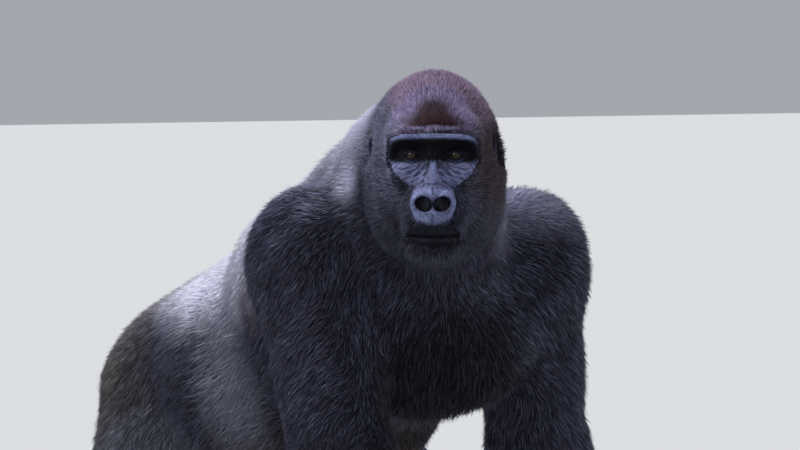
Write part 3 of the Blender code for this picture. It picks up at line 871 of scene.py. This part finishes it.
def lieOfCoat(points, normals, owners, ends):
    ways = np.zeros((len(points), 3))
    for number, name in enumerate(fleshNodes):
        target, steady = lieSetup["ways"][partOf(name)]
        mine = owners == number
        outwards = np.clip(points[mine, 0] / lieSetup["outwardsFrom"], -1, 1)
        side = ""
        for ending, sign in (("_left", 1), ("_right", -1)):
            if name.endswith(ending):
                side, outwards = ending, sign
        way = np.zeros((mine.sum(), 3)) + np.array(steady, float)
        way[:, 0] *= outwards
        if target:
            apart = middleOf(target + side) - middleOf(name)
            way += lieSetup["towards"] * apart / np.linalg.norm(apart)
        ways[mine] = unit(way)
    away = unit((toHead(points) - lieSetup["parting"]) * lieSetup["partingSquash"])
    onHead = ownedBy(owners, ("head", "jaw"))
    ways[onHead] = (away @ headAxes.T)[onHead]
    ways = averaged(ways, ends, lieSetup["rounds"], lieSetup["pull"])
    swirls = sum(np.sin(points @ np.array(waves) + phases) for waves, phases in lieSetup["swirls"])
    ways += lieSetup["waves"] * swirls * (1 - lieSetup["calmHead"] * onHead[:, None])
    ways -= (ways * normals).sum(axis=1, keepdims=True) * normals
    return unit(ways)


coatSetup = {
    "pieces": {   # each piece's slot and the nodes under it
        "coatCrown": ("crown", "head"),
        "coatCheeks": ("coat", "head", "ear_right", "ear_left"),
        "coatJaw": ("coat", "jaw"),
        "coatNeck": ("coat", "neck"),
        "coatChest": ("coat", "chest"),
        "coatFlanks": ("saddle", "abdomen"),
        "coatRump": ("saddle", "pelvis"),
        "coatArmRight": ("coat", "upper_arm_right"),
        "coatArmLeft": ("coat", "upper_arm_left"),
        "coatForearms": ("coat", "forearm_right", "forearm_left", "hand_right", "hand_left"),
        "coatThighs": ("saddle", "thigh_right", "thigh_left"),
        "coatShanks": ("coat", "shank_right", "shank_left", "foot_right", "foot_left"),
    },
    "crownAbove": 0.04,   # height in the head's frame where the crown begins and the cheeks end
    "tufts": {   # length and width in metres, and how many grow on a square metre
        "head": (0.013, 0.0011, 800000), "jaw": (0.0125, 0.0012, 640000), "ear": (0.006, 0.001, 210000),
        "neck": (0.021, 0.0018, 250000), "chest": (0.025, 0.0023, 84000), "abdomen": (0.026, 0.0023, 94000),
        "pelvis": (0.024, 0.0023, 88000), "upper_arm": (0.022, 0.0019, 155000),
        "forearm": (0.029, 0.0023, 82000), "hand": (0.013, 0.0013, 110000), "thigh": (0.023, 0.0022, 82000),
        "shank": (0.022, 0.0022, 80000), "foot": (0.011, 0.0012, 80000),
    },
    "rounds": 40,            # how far the measures of neighbouring nodes blend, and how fast
    "pull": 0.9,
    "shallow": (0.0005, 0.005, 0.35, 0.45),    # between these depths length and number grow from a share
    "noneFrom": (0.4, 0.96),                   # between these barenesses the tufts thin out to none
    "lift": (0.05, 0.45),
    "lengths": (0.7, 1.2),   # each tuft's own shares of its region's length, width and lift
    "widths": (0.7, 1.3),
    "lifts": (0.6, 1.35),
    "flatness": 0.6,
    "sides": 3,
    "rootDepth": 0.06,       # shares of a tuft's length under the skin
    "patch": 0.003,          # how large a tuft is in the map
    "ruffle": 0.2,
    "firstSeed": 11,
    "seedStep": 7,
    "unwrapAngle": 66,
    "unwrapMargin": 0.004,
}


def setFloats(mesh, name, values, kind="FLOAT"):
    layer = mesh.attributes.new(name, kind, "POINT")
    key = "value" if kind == "FLOAT" else "vector"
    layer.data.foreach_set(key, np.asarray(values, np.float32).ravel())


def tuftMesh():
    # one tuft: a slim spike, rooted just under the skin, its tip at z = 1
    root = coatSetup["rootDepth"]
    bm = bmesh.new()
    bmesh.ops.create_cone(bm, segments=coatSetup["sides"], radius1=0.5, radius2=0, depth=1 + root,
                          cap_ends=True)
    bmesh.ops.remove_doubles(bm, verts=bm.verts, dist=1e-4)
    bmesh.ops.translate(bm, verts=bm.verts, vec=(0, 0, (1 - root) / 2))
    bmesh.ops.triangulate(bm, faces=bm.faces)
    mesh = meshFrom(bm, "tuft")
    points, _ = arrays(mesh)
    setFloats(mesh, "tuftTip", np.clip(points[:, 2], 0, 1))
    setFloats(mesh, "tuftPatch", points[:, :3] * (1, 1, 0) + points[:, 2:] * (0.5, 0.5, 0), "FLOAT_VECTOR")
    mesh.shade_smooth()
    return plainObject("tuft", mesh)


def coatTree():
    tree = bpy.data.node_groups.new("plantTufts", "GeometryNodeTree")
    sockets = {"Skin": "Geometry", "Tuft": "Object", "Fullness": "Float", "Ruffle": "Float",
               "Patch": "Float", "Seed": "Int", "Finish": "Material"}
    for name, kind in sockets.items():
        tree.interface.new_socket(name, in_out="INPUT", socket_type="NodeSocket" + kind)
    tree.interface.new_socket("Coat", in_out="OUTPUT", socket_type="NodeSocketGeometry")
    sheet = Sheet(tree)
    given = sheet.make("NodeGroupInput")
    read = {name: given[number] for number, name in enumerate(sockets)}

    def named(name, kind="FLOAT"):
        return sheet.make("GeometryNodeInputNamedAttribute", {"data_type": kind}, {"Name": name})

    def random(step, low, high, kind="FLOAT"):
        first, second, output = {"FLOAT": (2, 3, 1), "FLOAT_VECTOR": (0, 1, 0)}[kind]
        inputs = {first: low, second: high, "Seed": read["Seed"] + step}
        return sheet.make("FunctionNodeRandomValue", {"data_type": kind}, inputs, output)

    def store(geometry, name, value, kind, domain):
        settings = {"data_type": kind, "domain": domain}
        inputs = {"Geometry": geometry, "Name": name, "Value": value}
        return sheet.make("GeometryNodeStoreNamedAttribute", settings, inputs)

    planted = sheet.make("GeometryNodeDistributePointsOnFaces", {"distribute_method": "RANDOM"}, {
        "Mesh": read["Skin"], "Density": read["Fullness"] * named("hairCount"), "Seed": read["Seed"]})
    jitter = sheet.scaled(random(1, (-1, -1, -1), (1, 1, 1), "FLOAT_VECTOR"), read["Ruffle"])
    raised = sheet.scaled(planted[1], named("hairLift") * random(2, *coatSetup["lifts"]))
    ruffled = sheet.vector("ADD", named("lie", "FLOAT_VECTOR"), jitter)
    way = sheet.vector("NORMALIZE", sheet.vector("ADD", ruffled, raised))
    turned = sheet.make("FunctionNodeAlignRotationToVector", {"axis": "Z"}, {"Vector": way})
    length = named("hairLength") * random(3, *coatSetup["lengths"])
    width = named("hairWidth") * random(4, *coatSetup["widths"])
    size = {0: width, 1: width * coatSetup["flatness"], 2: length}
    grown = sheet.make("GeometryNodeInstanceOnPoints", None, {
        "Points": store(planted, "tuftTone", random(5, 0.0, 1.0), "FLOAT", "POINT"),
        "Instance": sheet.make("GeometryNodeObjectInfo", None, {"Object": read["Tuft"]}, output=4),
        "Rotation": turned,
        "Scale": sheet.make("ShaderNodeCombineXYZ", None, size),
    })
    real = sheet.make("GeometryNodeRealizeInstances", None, {0: grown})
    spread = sheet.scaled(named("tuftPatch", "FLOAT_VECTOR"), read["Patch"])
    mapped = sheet.vector("ADD", named("rootMap", "FLOAT_VECTOR"), spread)
    stored = store(real, "OFBake", mapped, "FLOAT2", "CORNER")
    finished = sheet.make("GeometryNodeSetMaterial", None, {0: stored, 2: read["Finish"]})
    sheet.make("NodeGroupOutput", None, {0: finished})
    return tree


markings = {
    # the colour at a tuft's root, then at its palest tip
    "black": ((0.007, 0.007, 0.01), (0.37, 0.375, 0.62)),
    "silver": ((0.69, 0.67, 0.85), (1.0, 0.98, 1.0)),
    "nape": ((0.59, 0.585, 0.82), (1.0, 1.0, 1.0)),
    "hip": ((0.042, 0.038, 0.038), (0.5, 0.45, 0.45)),
    # grey hair of the thighs, darkened by painted shade
    "thigh": ((0.09, 0.096, 0.13), (0.76, 0.8, 0.98)),
    # painted light: a lit strip down the right flank
    "flankPale": ((0.24, 0.25, 0.36), (0.95, 0.98, 1.0)),
    # grey hair on the left shoulder's top, with painted light from above
    "shoulder": ((0.25, 0.245, 0.4), (1.0, 0.98, 1.0)),
    "crown": ((0.046, 0.028, 0.044), (0.7, 0.48, 0.74)),
    "forehead": ((0.005, 0.002, 0.002), (0.1, 0.028, 0.036)),
    "halo": ((0.04, 0.032, 0.058), (0.62, 0.5, 0.9)),
    # brown hair on the head's left side, darkened by painted shade
    "brown": ((0.006, 0.004, 0.005), (0.28, 0.19, 0.22)),
    "flank": ((0.012, 0.01, 0.009), (0.3, 0.21, 0.18)),
    "chest": ((0.003, 0.003, 0.004), (0.14, 0.15, 0.16)),
    # how far the markings' edges wander
    "swirlScale": 22,
    "bodySwirl": 0.07,
    "headSwirl": 0.01575,
    # where each lies, as soft ellipsoids: frame, centre, radii, inner and outer edge, strength
    "places": (
        ("chest", "body", (0, -0.4, 0.64), (0.2, 0.22, 0.2), 0.5, 1.05, 0.9),
        ("flank", "body", (0, 0.06, 0.52), (0.25, 0.3, 0.15), 0.5, 1.05, 0.8),
        ("silver", "body", (0, 0.19, 0.93), (0.4, 0.36, 0.205), 0.74, 1.24, 1.0),
        ("silver", "body", (-0.01, -0.08, 1.0), (0.125, 0.235, 0.125), 0.25, 1.2, 0.85),
        ("hip", "body", (0, 0.5, 0.62), (0.42, 0.24, 0.23), 0.55, 1.1, 1.0),
        # the thighs' grey hair, darkened by painted shade
        ("thigh", "body", (0, 0.33, 0.45), (0.42, 0.22, 0.2), 0.6, 1.1, 0.9),
        # painted light along the lit edge of the right flank
        ("flankPale", "body", (-0.19, 0.062, 0.67), (0.085, 0.085, 0.195), 0.0, 1.25, 0.8),
        ("nape", "head", (-0.07, 0.185, 0.0), (0.13, 0.15, 0.13), 0.45, 1.1, 1.0),
        ("nape", "head", (-0.118, 0.098, -0.048), (0.045, 0.05, 0.05), 0.2, 1.1, 0.9),
        # grey hair and painted light on the top of the left shoulder
        ("shoulder", "body", (0.15, -0.265, 0.965), (0.12, 0.14, 0.085), 0.05, 1.15, 0.95),
        ("shoulder", "body", (0.075, -0.38, 0.925), (0.07, 0.08, 0.06), 0.0, 1.15, 0.7),
        # brown hair and painted shade on the head's left side
        ("brown", "head", (0.085, -0.01, 0.0), (0.06, 0.13, 0.12), 0.5, 1.1, 0.9),
        ("chest", "head", (0, -0.06, -0.13), (0.105, 0.12, 0.075), 0.45, 1.15, 0.6),
        ("crown", "head", (0.02, 0.01, 0.098), (0.108, 0.15, 0.074), 0.6, 1.1, 1.0),
        ("halo", "head", (0, -0.07, 0.058), (0.072, 0.1, 0.064), 0.7, 1.08, 0.9),
        ("forehead", "head", (0.001, -0.105, 0.046), (0.058, 0.08, 0.024), 0.45, 1.12, 0.95),
        ("forehead", "head", (0.001, -0.085, 0.059), (0.034, 0.08, 0.035), 0.45, 1.12, 0.95),
        ("halo", "head", (0, -0.118, 0.0395), (0.064, 0.026, 0.0065), 0.4, 1.15, 0.8),
    ),
}


def coatColours(sheet, place):
    # the colours at the root and at the tip of the hair
    swirl = sheet.noise(place, markings["swirlScale"], 4.0, output=1)
    swirl = sheet.vector("SUBTRACT", swirl, (0.5, 0.5, 0.5))
    frames = {
        "body": sheet.vector("ADD", place, sheet.scaled(swirl, markings["bodySwirl"])),
        "head": sheet.vector("ADD", sheet.inHead(place), sheet.scaled(swirl, markings["headSwirl"])),
    }
    root, tip = markings["black"]
    for name, where, centre, radii, inner, outer, strength in markings["places"]:
        mask = sheet.blob(frames[where], centre, radii, inner, outer) * strength
        root = sheet.mixColour(mask, root, markings[name][0])
        tip = sheet.mixColour(mask, tip, markings[name][1])
    return root, tip


coatFinish = {
    "roughness": 0.55,
    "sheen": 0.02,
    "sheenRoughness": 0.4,
    "sheenTint": (0.66, 0.7, 0.88),
    "specular": 0.14,
    "grizzle": 3.4,      # higher: fewer pale tips among the dark ones
    "plainShare": 0.1,   # how much of the tip's colour the darkest tuft still has
    "tipPower": 1.2,     # higher: the colour changes nearer the tip
}


def coatMaterial():
    material, sheet = newMaterial("coatHair")
    root, tip = coatColours(sheet, sheet.place())
    plain = coatFinish["plainShare"]
    grizzle = sheet.attribute("tuftTone") ** coatFinish["grizzle"] * (1 - plain) + plain
    lightness = sheet.attribute("tuftTip") ** coatFinish["tipPower"] * grizzle
    finishMaterial(sheet, {
        "Base Color": sheet.mixColour(lightness, root, tip),
        "Roughness": coatFinish["roughness"],
        "Specular IOR Level": coatFinish["specular"],
        "Sheen Weight": coatFinish["sheen"],
        "Sheen Roughness": coatFinish["sheenRoughness"],
        "Sheen Tint": (*coatFinish["sheenTint"], 1),
    })
    return material


skinFinish = {
    "bare": (0.076, 0.083, 0.16),
    "worn": (0.13, 0.146, 0.265),
    # the colour of the painted highlights
    "pale": (0.205, 0.24, 0.44),
    # the cheeks' colour, painted lighter as lit skin
    "cheek": (0.22, 0.225, 0.4),
    # the colour of the painted shade in creases
    "crease": (0.006, 0.006, 0.009),
    # the colour of the painted shade, which also darkens the skin beyond the face
    "dark": (0.0028, 0.0022, 0.0022),
    "wrinkleTurn": 32,     # degrees down from level, outwards from the nose
    "wrinkleScale": (80, 80, 560),
    "cheeks": (-0.06, -0.046, -0.004, 0.01),     # heights where the wrinkled cheeks fade in and out
    "cheeksAside": (0.004, 0.013),               # and how far from the middle they fade in
    "shortHair": (0.42, 0.72, 0.2, 0.04),   # edges of its streaks, most and least of the tip's colour
    "noises": {   # scale, detail and roughness
        "streaks": (520, 2, 0.6),
        "pores": (900, 3, 0.6),
        "mottle": (75, 4, 0.6),
        "grain": (330, 4, 0.65),
    },
    "relief": (0.35, 0.5),      # height of pores and grain beside that of the wrinkles
    "bump": (0.55, 0.0012),
    "faceFrom": (0.0, 0.45),    # barenesses between which the short hair passes into the face's colour
}


def skinMaterial():
    material, sheet = newMaterial("skinAndShortHair")
    place = sheet.place()
    noises = skinFinish["noises"].values()
    streaks, pores, mottle, grain = (sheet.noise(place, *noise) for noise in noises)
    root, tip = coatColours(sheet, place)
    low, high, most, least = skinFinish["shortHair"]
    hair = sheet.mixColour(streaks.step(low, high) * most + least, root, tip)
    tones = ("bare", "faceHighlight", "faceShadeAndDarkSkin", "faceCreaseShade")
    bare, pale, dark, crease = (sheet.attribute(name) for name in tones)
    head = sheet.inHead(place)
    folded = sheet.vector("ABSOLUTE", head)
    along = sheet.make("ShaderNodeMapping", {"vector_type": "TEXTURE"}, {
        "Vector": folded, "Rotation": (0, -math.radians(skinFinish["wrinkleTurn"]), 0),
        "Scale": tuple(1 / scale for scale in skinFinish["wrinkleScale"])})
    lines = sheet.noise(along, 1.0, 3.0, 0.55)
    height, aside = sheet.part(head, 2), sheet.part(folded, 0).step(*skinFinish["cheeksAside"])
    heights = skinFinish["cheeks"]
    onCheeks = height.step(*heights[:2]) * (1 - height.step(*heights[2:])) * aside
    flesh = skinFinish["bare"]
    for name, mask in (   # each colour lies over the ones before
        ("worn", mottle.step(0.35, 0.7)),
        # painted light: the cheeks lighter, as lit skin
        ("cheek", onCheeks * 0.6),
        # painted highlights on the brow's rim, the lids, the nose and the rim of the nose pad, and on the
        # face's ridges
        ("pale", pale * (0.55 + 0.45 * mottle.step(0.3, 0.6))),
        # painted shade in the hollows of the grain, then in the wrinkles of the cheeks
        ("crease", (1 - grain.step(0.36, 0.6)) * 0.5),
        ("crease", (1 - lines.step(0.36, 0.5)) * onCheeks * 0.7),
        # painted highlights on the ridges between the cheeks' wrinkles
        ("pale", lines.step(0.54, 0.66) * onCheeks * 0.6),
        # painted shade in the folds of the face
        ("crease", crease * 0.85),
        # painted shade in the eye sockets, under the nose pad and in the nostrils, over the darker skin
        # beyond the face
        ("dark", dark * 0.97),
    ):
        flesh = sheet.mixColour(mask, flesh, skinFinish[name])
    ofPores, ofGrain = skinFinish["relief"]
    relief = lines * onCheeks + pores * ofPores + grain * ofGrain
    finishMaterial(sheet, {
        "Base Color": sheet.mixColour(bare.step(*skinFinish["faceFrom"]), hair, flesh),
        "Roughness": 0.62 - bare * 0.12 + dark * 0.25,
        "Normal": sheet.bump(relief * bare + streaks * (1 - bare), *skinFinish["bump"]),
        "Specular IOR Level": 0.06,
    })
    return material


eyeSetup = {
    "radius": 0.0122,
    "forward": 0.001,        # from the middle of the part's eye
    "segments": 48,
    "corneaHalf": 30.0,      # degrees from the gaze to the cornea's edge
    "corneaRise": 0.0012,
    "corneaPower": 1.5,
    "pupilEdge": (9.2, 10.8),   # degrees from the gaze over which one passes into the next
    "irisEdge": (23, 28),
    "pupil": (0.002, 0.002, 0.002),
    "iris": ((0.014, 0.007, 0.004), (0.052, 0.026, 0.012)),
    "white": (0.013, 0.01, 0.009),
}


def eyeMaterial():
    material, sheet = newMaterial("wetEye")
    fibres = sheet.noise(sheet.place(), 1400.0, 3.0, 0.6)
    gaze = sheet.attribute("gaze")
    iris = sheet.mixColour(fibres.step(0.35, 0.7), *eyeSetup["iris"])
    ball = sheet.mixColour(gaze.step(*eyeSetup["pupilEdge"]), eyeSetup["pupil"], iris)
    ball = sheet.mixColour(gaze.step(*eyeSetup["irisEdge"]), ball, eyeSetup["white"])
    finishMaterial(sheet, {
        "Base Color": ball,
        "Roughness": 0.05 + fibres * 0.02,
        "Coat Weight": 0.15,
        "Coat Roughness": 0.02,
        "Specular IOR Level": 0.22,
    })
    return material


def makeEyes(setup):
    finish = eyeMaterial()
    for side in ("left", "right"):
        centre = middleOf("eye_" + side)
        bm = bmesh.new()
        count, radius = setup["segments"], setup["radius"]
        bmesh.ops.create_uvsphere(bm, u_segments=count, v_segments=count, radius=radius)
        points = np.array([vert.co for vert in bm.verts])
        angle = np.degrees(np.arccos(np.clip(points[:, 2] / radius, -1, 1)))
        rise = np.cos(np.radians(90 * np.clip(angle / setup["corneaHalf"], 0, 1))) ** setup["corneaPower"]
        points *= (1 + setup["corneaRise"] * rise / radius)[:, None]
        points = points @ np.array(((1, 0, 0), (0, 0, 1), (0, -1, 0)))   # the pole turns to the front
        points = points @ headAxes.T + centre - setup["forward"] * headAxes[:, 1]
        mesh = meshFrom(bm, "eyeball_" + side)
        setPoints(mesh, points)
        setFloats(mesh, "gaze", angle)
        mesh.shade_smooth()
        mesh.materials.append(finish)
        eyeball = plainObject("eyeball_" + side, mesh)
        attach(eyeball, "root")
        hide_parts("eye_" + side)


nailSetup = {
    # the joint above it, from the box's inner front corner, then for each nail: its centre from there,
    # outwards, backwards and up; the way it faces; the toe's way; half its width and length
    "foot": {
        "joint": (0.0945, 0.203),
        "nails": (
            ((-0.0184, -0.193, 0.021), (0, -0.42, 0.91), (-0.05, -1, -0.2), 0.0062, 0.0062),
            ((0.006, -0.181, 0.021), (0, -0.42, 0.91), (0, -1, -0.2), 0.0062, 0.006),
            ((0.0304, -0.169, 0.02), (0, -0.42, 0.91), (0.05, -1, -0.2), 0.006, 0.0056),
            ((0.0549, -0.157, 0.019), (0, -0.42, 0.91), (0.1, -1, -0.2), 0.0056, 0.0052),
            ((-0.08, -0.148, 0.03), (-0.1, -0.3, 0.95), (-0.27, -1, -0.1), 0.0092, 0.0085),
        ),
    },
    "hand": {
        "joint": (0.077, 0.075),
        "nails": (
            ((-0.0605, -0.024, 0.078), (-0.95, -0.3, 0.0), (0.05, -0.4, -0.9), 0.006, 0.0066),
            ((-0.045, 0.018, 0.026), (0, 0.63, -0.77), (0, 0.77, 0.63), 0.006, 0.0062),
            ((-0.015, 0.018, 0.026), (0, 0.63, -0.77), (0, 0.77, 0.63), 0.0062, 0.0064),
            ((0.015, 0.018, 0.026), (0, 0.63, -0.77), (0, 0.77, 0.63), 0.0062, 0.0064),
            ((0.045, 0.018, 0.026), (0, 0.63, -0.77), (0, 0.77, 0.63), 0.0056, 0.0058),
        ),
    },
    "bend": 0.0115,      # radius of the nail across its width
    "tipDrop": 0.004,
    "tipFrom": 0.7,
    "narrowed": 0.55,    # how much the outline is rounded at the ends and at the sides
    "shortened": 0.35,
    "reach": 0.03,       # how far over and under its place the skin is looked for
    "proud": 0.0014,
    "thick": 0.0026,
    "larger": 1.2,
    "steps": 8,
    "colour": ((0.012, 0.011, 0.011), (0.05, 0.044, 0.042)),
}


def nailMaterial():
    material, sheet = newMaterial("horn")
    streaks = sheet.noise(sheet.place(), 700.0, 3.0, 0.6)
    finishMaterial(sheet, {
        "Base Color": sheet.mixColour(streaks.step(0.35, 0.7), *nailSetup["colour"]),
        "Roughness": 0.34 + streaks * 0.12,
        "Normal": sheet.bump(streaks, 0.3, 0.0004),
        "Specular IOR Level": 0.3,
    })
    return material


def addNail(bm, tree, centre, facing, along, half, setup):
    # a curved plate with a rounded outline, set on the skin
    facing = facing.normalized()
    across = facing.cross(along).normalized()
    along = across.cross(facing)
    hit = tree.ray_cast(centre + facing * setup["reach"], -facing, 2 * setup["reach"])[0]
    centre = (hit or centre) + facing * setup["proud"]
    steps = setup["steps"]
    layers = []
    for sink in (0, setup["thick"]):
        rows = []
        for row in range(steps + 1):
            v = 2 * row / steps - 1
            ring = []
            for column in range(steps + 1):
                u = (2 * column / steps - 1) * math.sqrt(1 - setup["narrowed"] * v * v)
                u, v2 = u * half[0], v * math.sqrt(1 - setup["shortened"] * (u * u)) * half[1]
                fall = u * u / (2 * setup["bend"]) + sink
                fall += max(0.0, abs(v) - setup["tipFrom"]) ** 2 * setup["tipDrop"]
                ring.append(bm.verts.new(centre + across * u + along * v2 - facing * fall))
            rows.append(ring)
        layers.append(rows)
    top, under = layers
    for row in range(steps):
        for column in range(steps):
            quad = ((row, column), (row, column + 1), (row + 1, column + 1), (row + 1, column))
            bm.faces.new([top[i][j] for i, j in quad])
            bm.faces.new([under[i][j] for i, j in reversed(quad)])
    rim = ([(0, j) for j in range(steps)] + [(i, steps) for i in range(steps)]
           + [(steps, j) for j in range(steps, 0, -1)] + [(i, 0) for i in range(steps, 0, -1)])
    for (a, b), (c, d) in zip(rim, rim[1:] + rim[:1]):
        bm.faces.new((top[c][d], top[a][b], under[a][b], under[c][d]))


def makeNails(skin, setup):
    finish = nailMaterial()
    source = opened(skin)
    tree = BVHTree.FromBMesh(source)
    source.free()
    for part in ("hand", "foot"):
        bm = bmesh.new()
        for name, side in ((part + "_left", 1), (part + "_right", -1)):
            low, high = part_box(name)
            inner = low[0] if side > 0 else high[0]
            outwards, back = setup[part]["joint"]
            joint = Vector((inner + side * outwards, low[1] + back, 0))
            mirror = Vector((side, 1, 1))
            for centre, facing, along, wide, long in setup[part]["nails"]:
                addNail(bm, tree, joint + Vector(centre) * mirror, Vector(facing) * mirror,
                        Vector(along) * mirror, (wide * setup["larger"], long * setup["larger"]), setup)
        bmesh.ops.recalc_face_normals(bm, faces=bm.faces)
        mesh = meshFrom(bm, part + "Nails")
        mesh.shade_smooth()
        mesh.materials.append(finish)
        nails = plainObject(part + "Nails", mesh)
        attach(nails, "root")


def hairLayers(points, owners, bare, depth, ends):
    # each point's length, width, number and lift of the tufts
    measures = perPoint(coatSetup["tufts"], points, owners)
    length, width, count = averaged(measures, ends, coatSetup["rounds"], coatSetup["pull"]).T
    low, high, leastLength, leastCount = coatSetup["shallow"]
    grown = smoothStep(depth, low, high)
    length = length * (leastLength + (1 - leastLength) * grown)
    count = count * (1 - smoothStep(bare, *coatSetup["noneFrom"]))
    count *= leastCount + (1 - leastCount) * grown
    lift = np.clip(depth / length, *coatSetup["lift"])
    return {"hairLength": length, "hairWidth": width, "hairCount": count, "hairLift": lift}


def unwrap(thing):
    for other in bpy.context.selected_objects:
        other.select_set(False)
    bpy.context.view_layer.objects.active = thing
    thing.select_set(True)
    bpy.ops.object.mode_set(mode="EDIT")
    bpy.ops.mesh.select_all(action="SELECT")
    bpy.ops.uv.smart_project(angle_limit=math.radians(coatSetup["unwrapAngle"]),
                             island_margin=coatSetup["unwrapMargin"])
    bpy.ops.object.mode_set(mode="OBJECT")


def growCoat(skin, owners, layers, finish):
    source, tuft, tree = opened(skin), tuftMesh(), coatTree()
    crown = toHead(arrays(skin)[0])[:, 2] >= coatSetup["crownAbove"]
    total = 0
    for number, (name, (slot, *parts)) in enumerate(coatSetup["pieces"].items()):
        region = ownedBy(owners, parts)
        if "head" in parts:
            region &= crown == (name == "coatCrown")
        patch = source.copy()
        patch.verts.ensure_lookup_table()
        away = [face for face in patch.faces if not region[face.verts[0].index]]
        bmesh.ops.delete(patch, geom=away, context="FACES")
        mesh = meshFrom(patch, name)
        mesh.uv_layers.new(name="rootMap")
        thing = plainObject(name, mesh)
        unwrap(thing)
        plant = thing.modifiers.new("plant", "NODES")
        plant.node_group = tree
        values = {
            "Tuft": tuft, "Fullness": 1.0, "Ruffle": coatSetup["ruffle"], "Patch": coatSetup["patch"],
            "Seed": coatSetup["firstSeed"] + coatSetup["seedStep"] * number, "Finish": finish,
        }
        for socket in tree.interface.items_tree:
            if socket.in_out == "INPUT" and socket.name in values:
                plant[socket.identifier] = values[socket.name]
        mesh = frozen(thing, name)
        for layer in (*layers, "lie", "tuftPatch", "rootMap"):
            if layer in mesh.attributes:
                mesh.attributes.remove(mesh.attributes[layer])
        coat = plainObject(name, mesh)
        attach(coat, "root")
        total += len(mesh.polygons)
        print(name, len(mesh.polygons), "triangles")
    source.free()
    bpy.data.objects.remove(tuft)
    print("the coat has", total, "triangles")


skinMesh, owners, bare, depth = makeSkin(skinSetup)
points, ends = arrays(skinMesh)
pale, dark, crease = faceTones(toHead(points))
skinLayers = {
    **hairLayers(points, owners, bare, depth, ends),
    "bare": bare, "faceHighlight": pale, "faceShadeAndDarkSkin": dark, "faceCreaseShade": crease,
}
setFloats(skinMesh, "lie", lieOfCoat(points, normalsOf(skinMesh), owners, ends), "FLOAT_VECTOR")
for layerName, layerValues in skinLayers.items():
    setFloats(skinMesh, layerName, layerValues)
print("the skin has", sum(len(face.vertices) - 2 for face in skinMesh.polygons), "triangles")

growCoat(skinMesh, owners, skinLayers, coatMaterial())

skin = plainObject("skin", skinMesh)
skinMesh.materials.clear()
skinMesh.materials.append(skinMaterial())
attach(skin, "root")
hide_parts(*fleshNodes)

makeEyes(eyeSetup)
makeNails(skinMesh, nailSetup)
print("eyes and nails are in place")
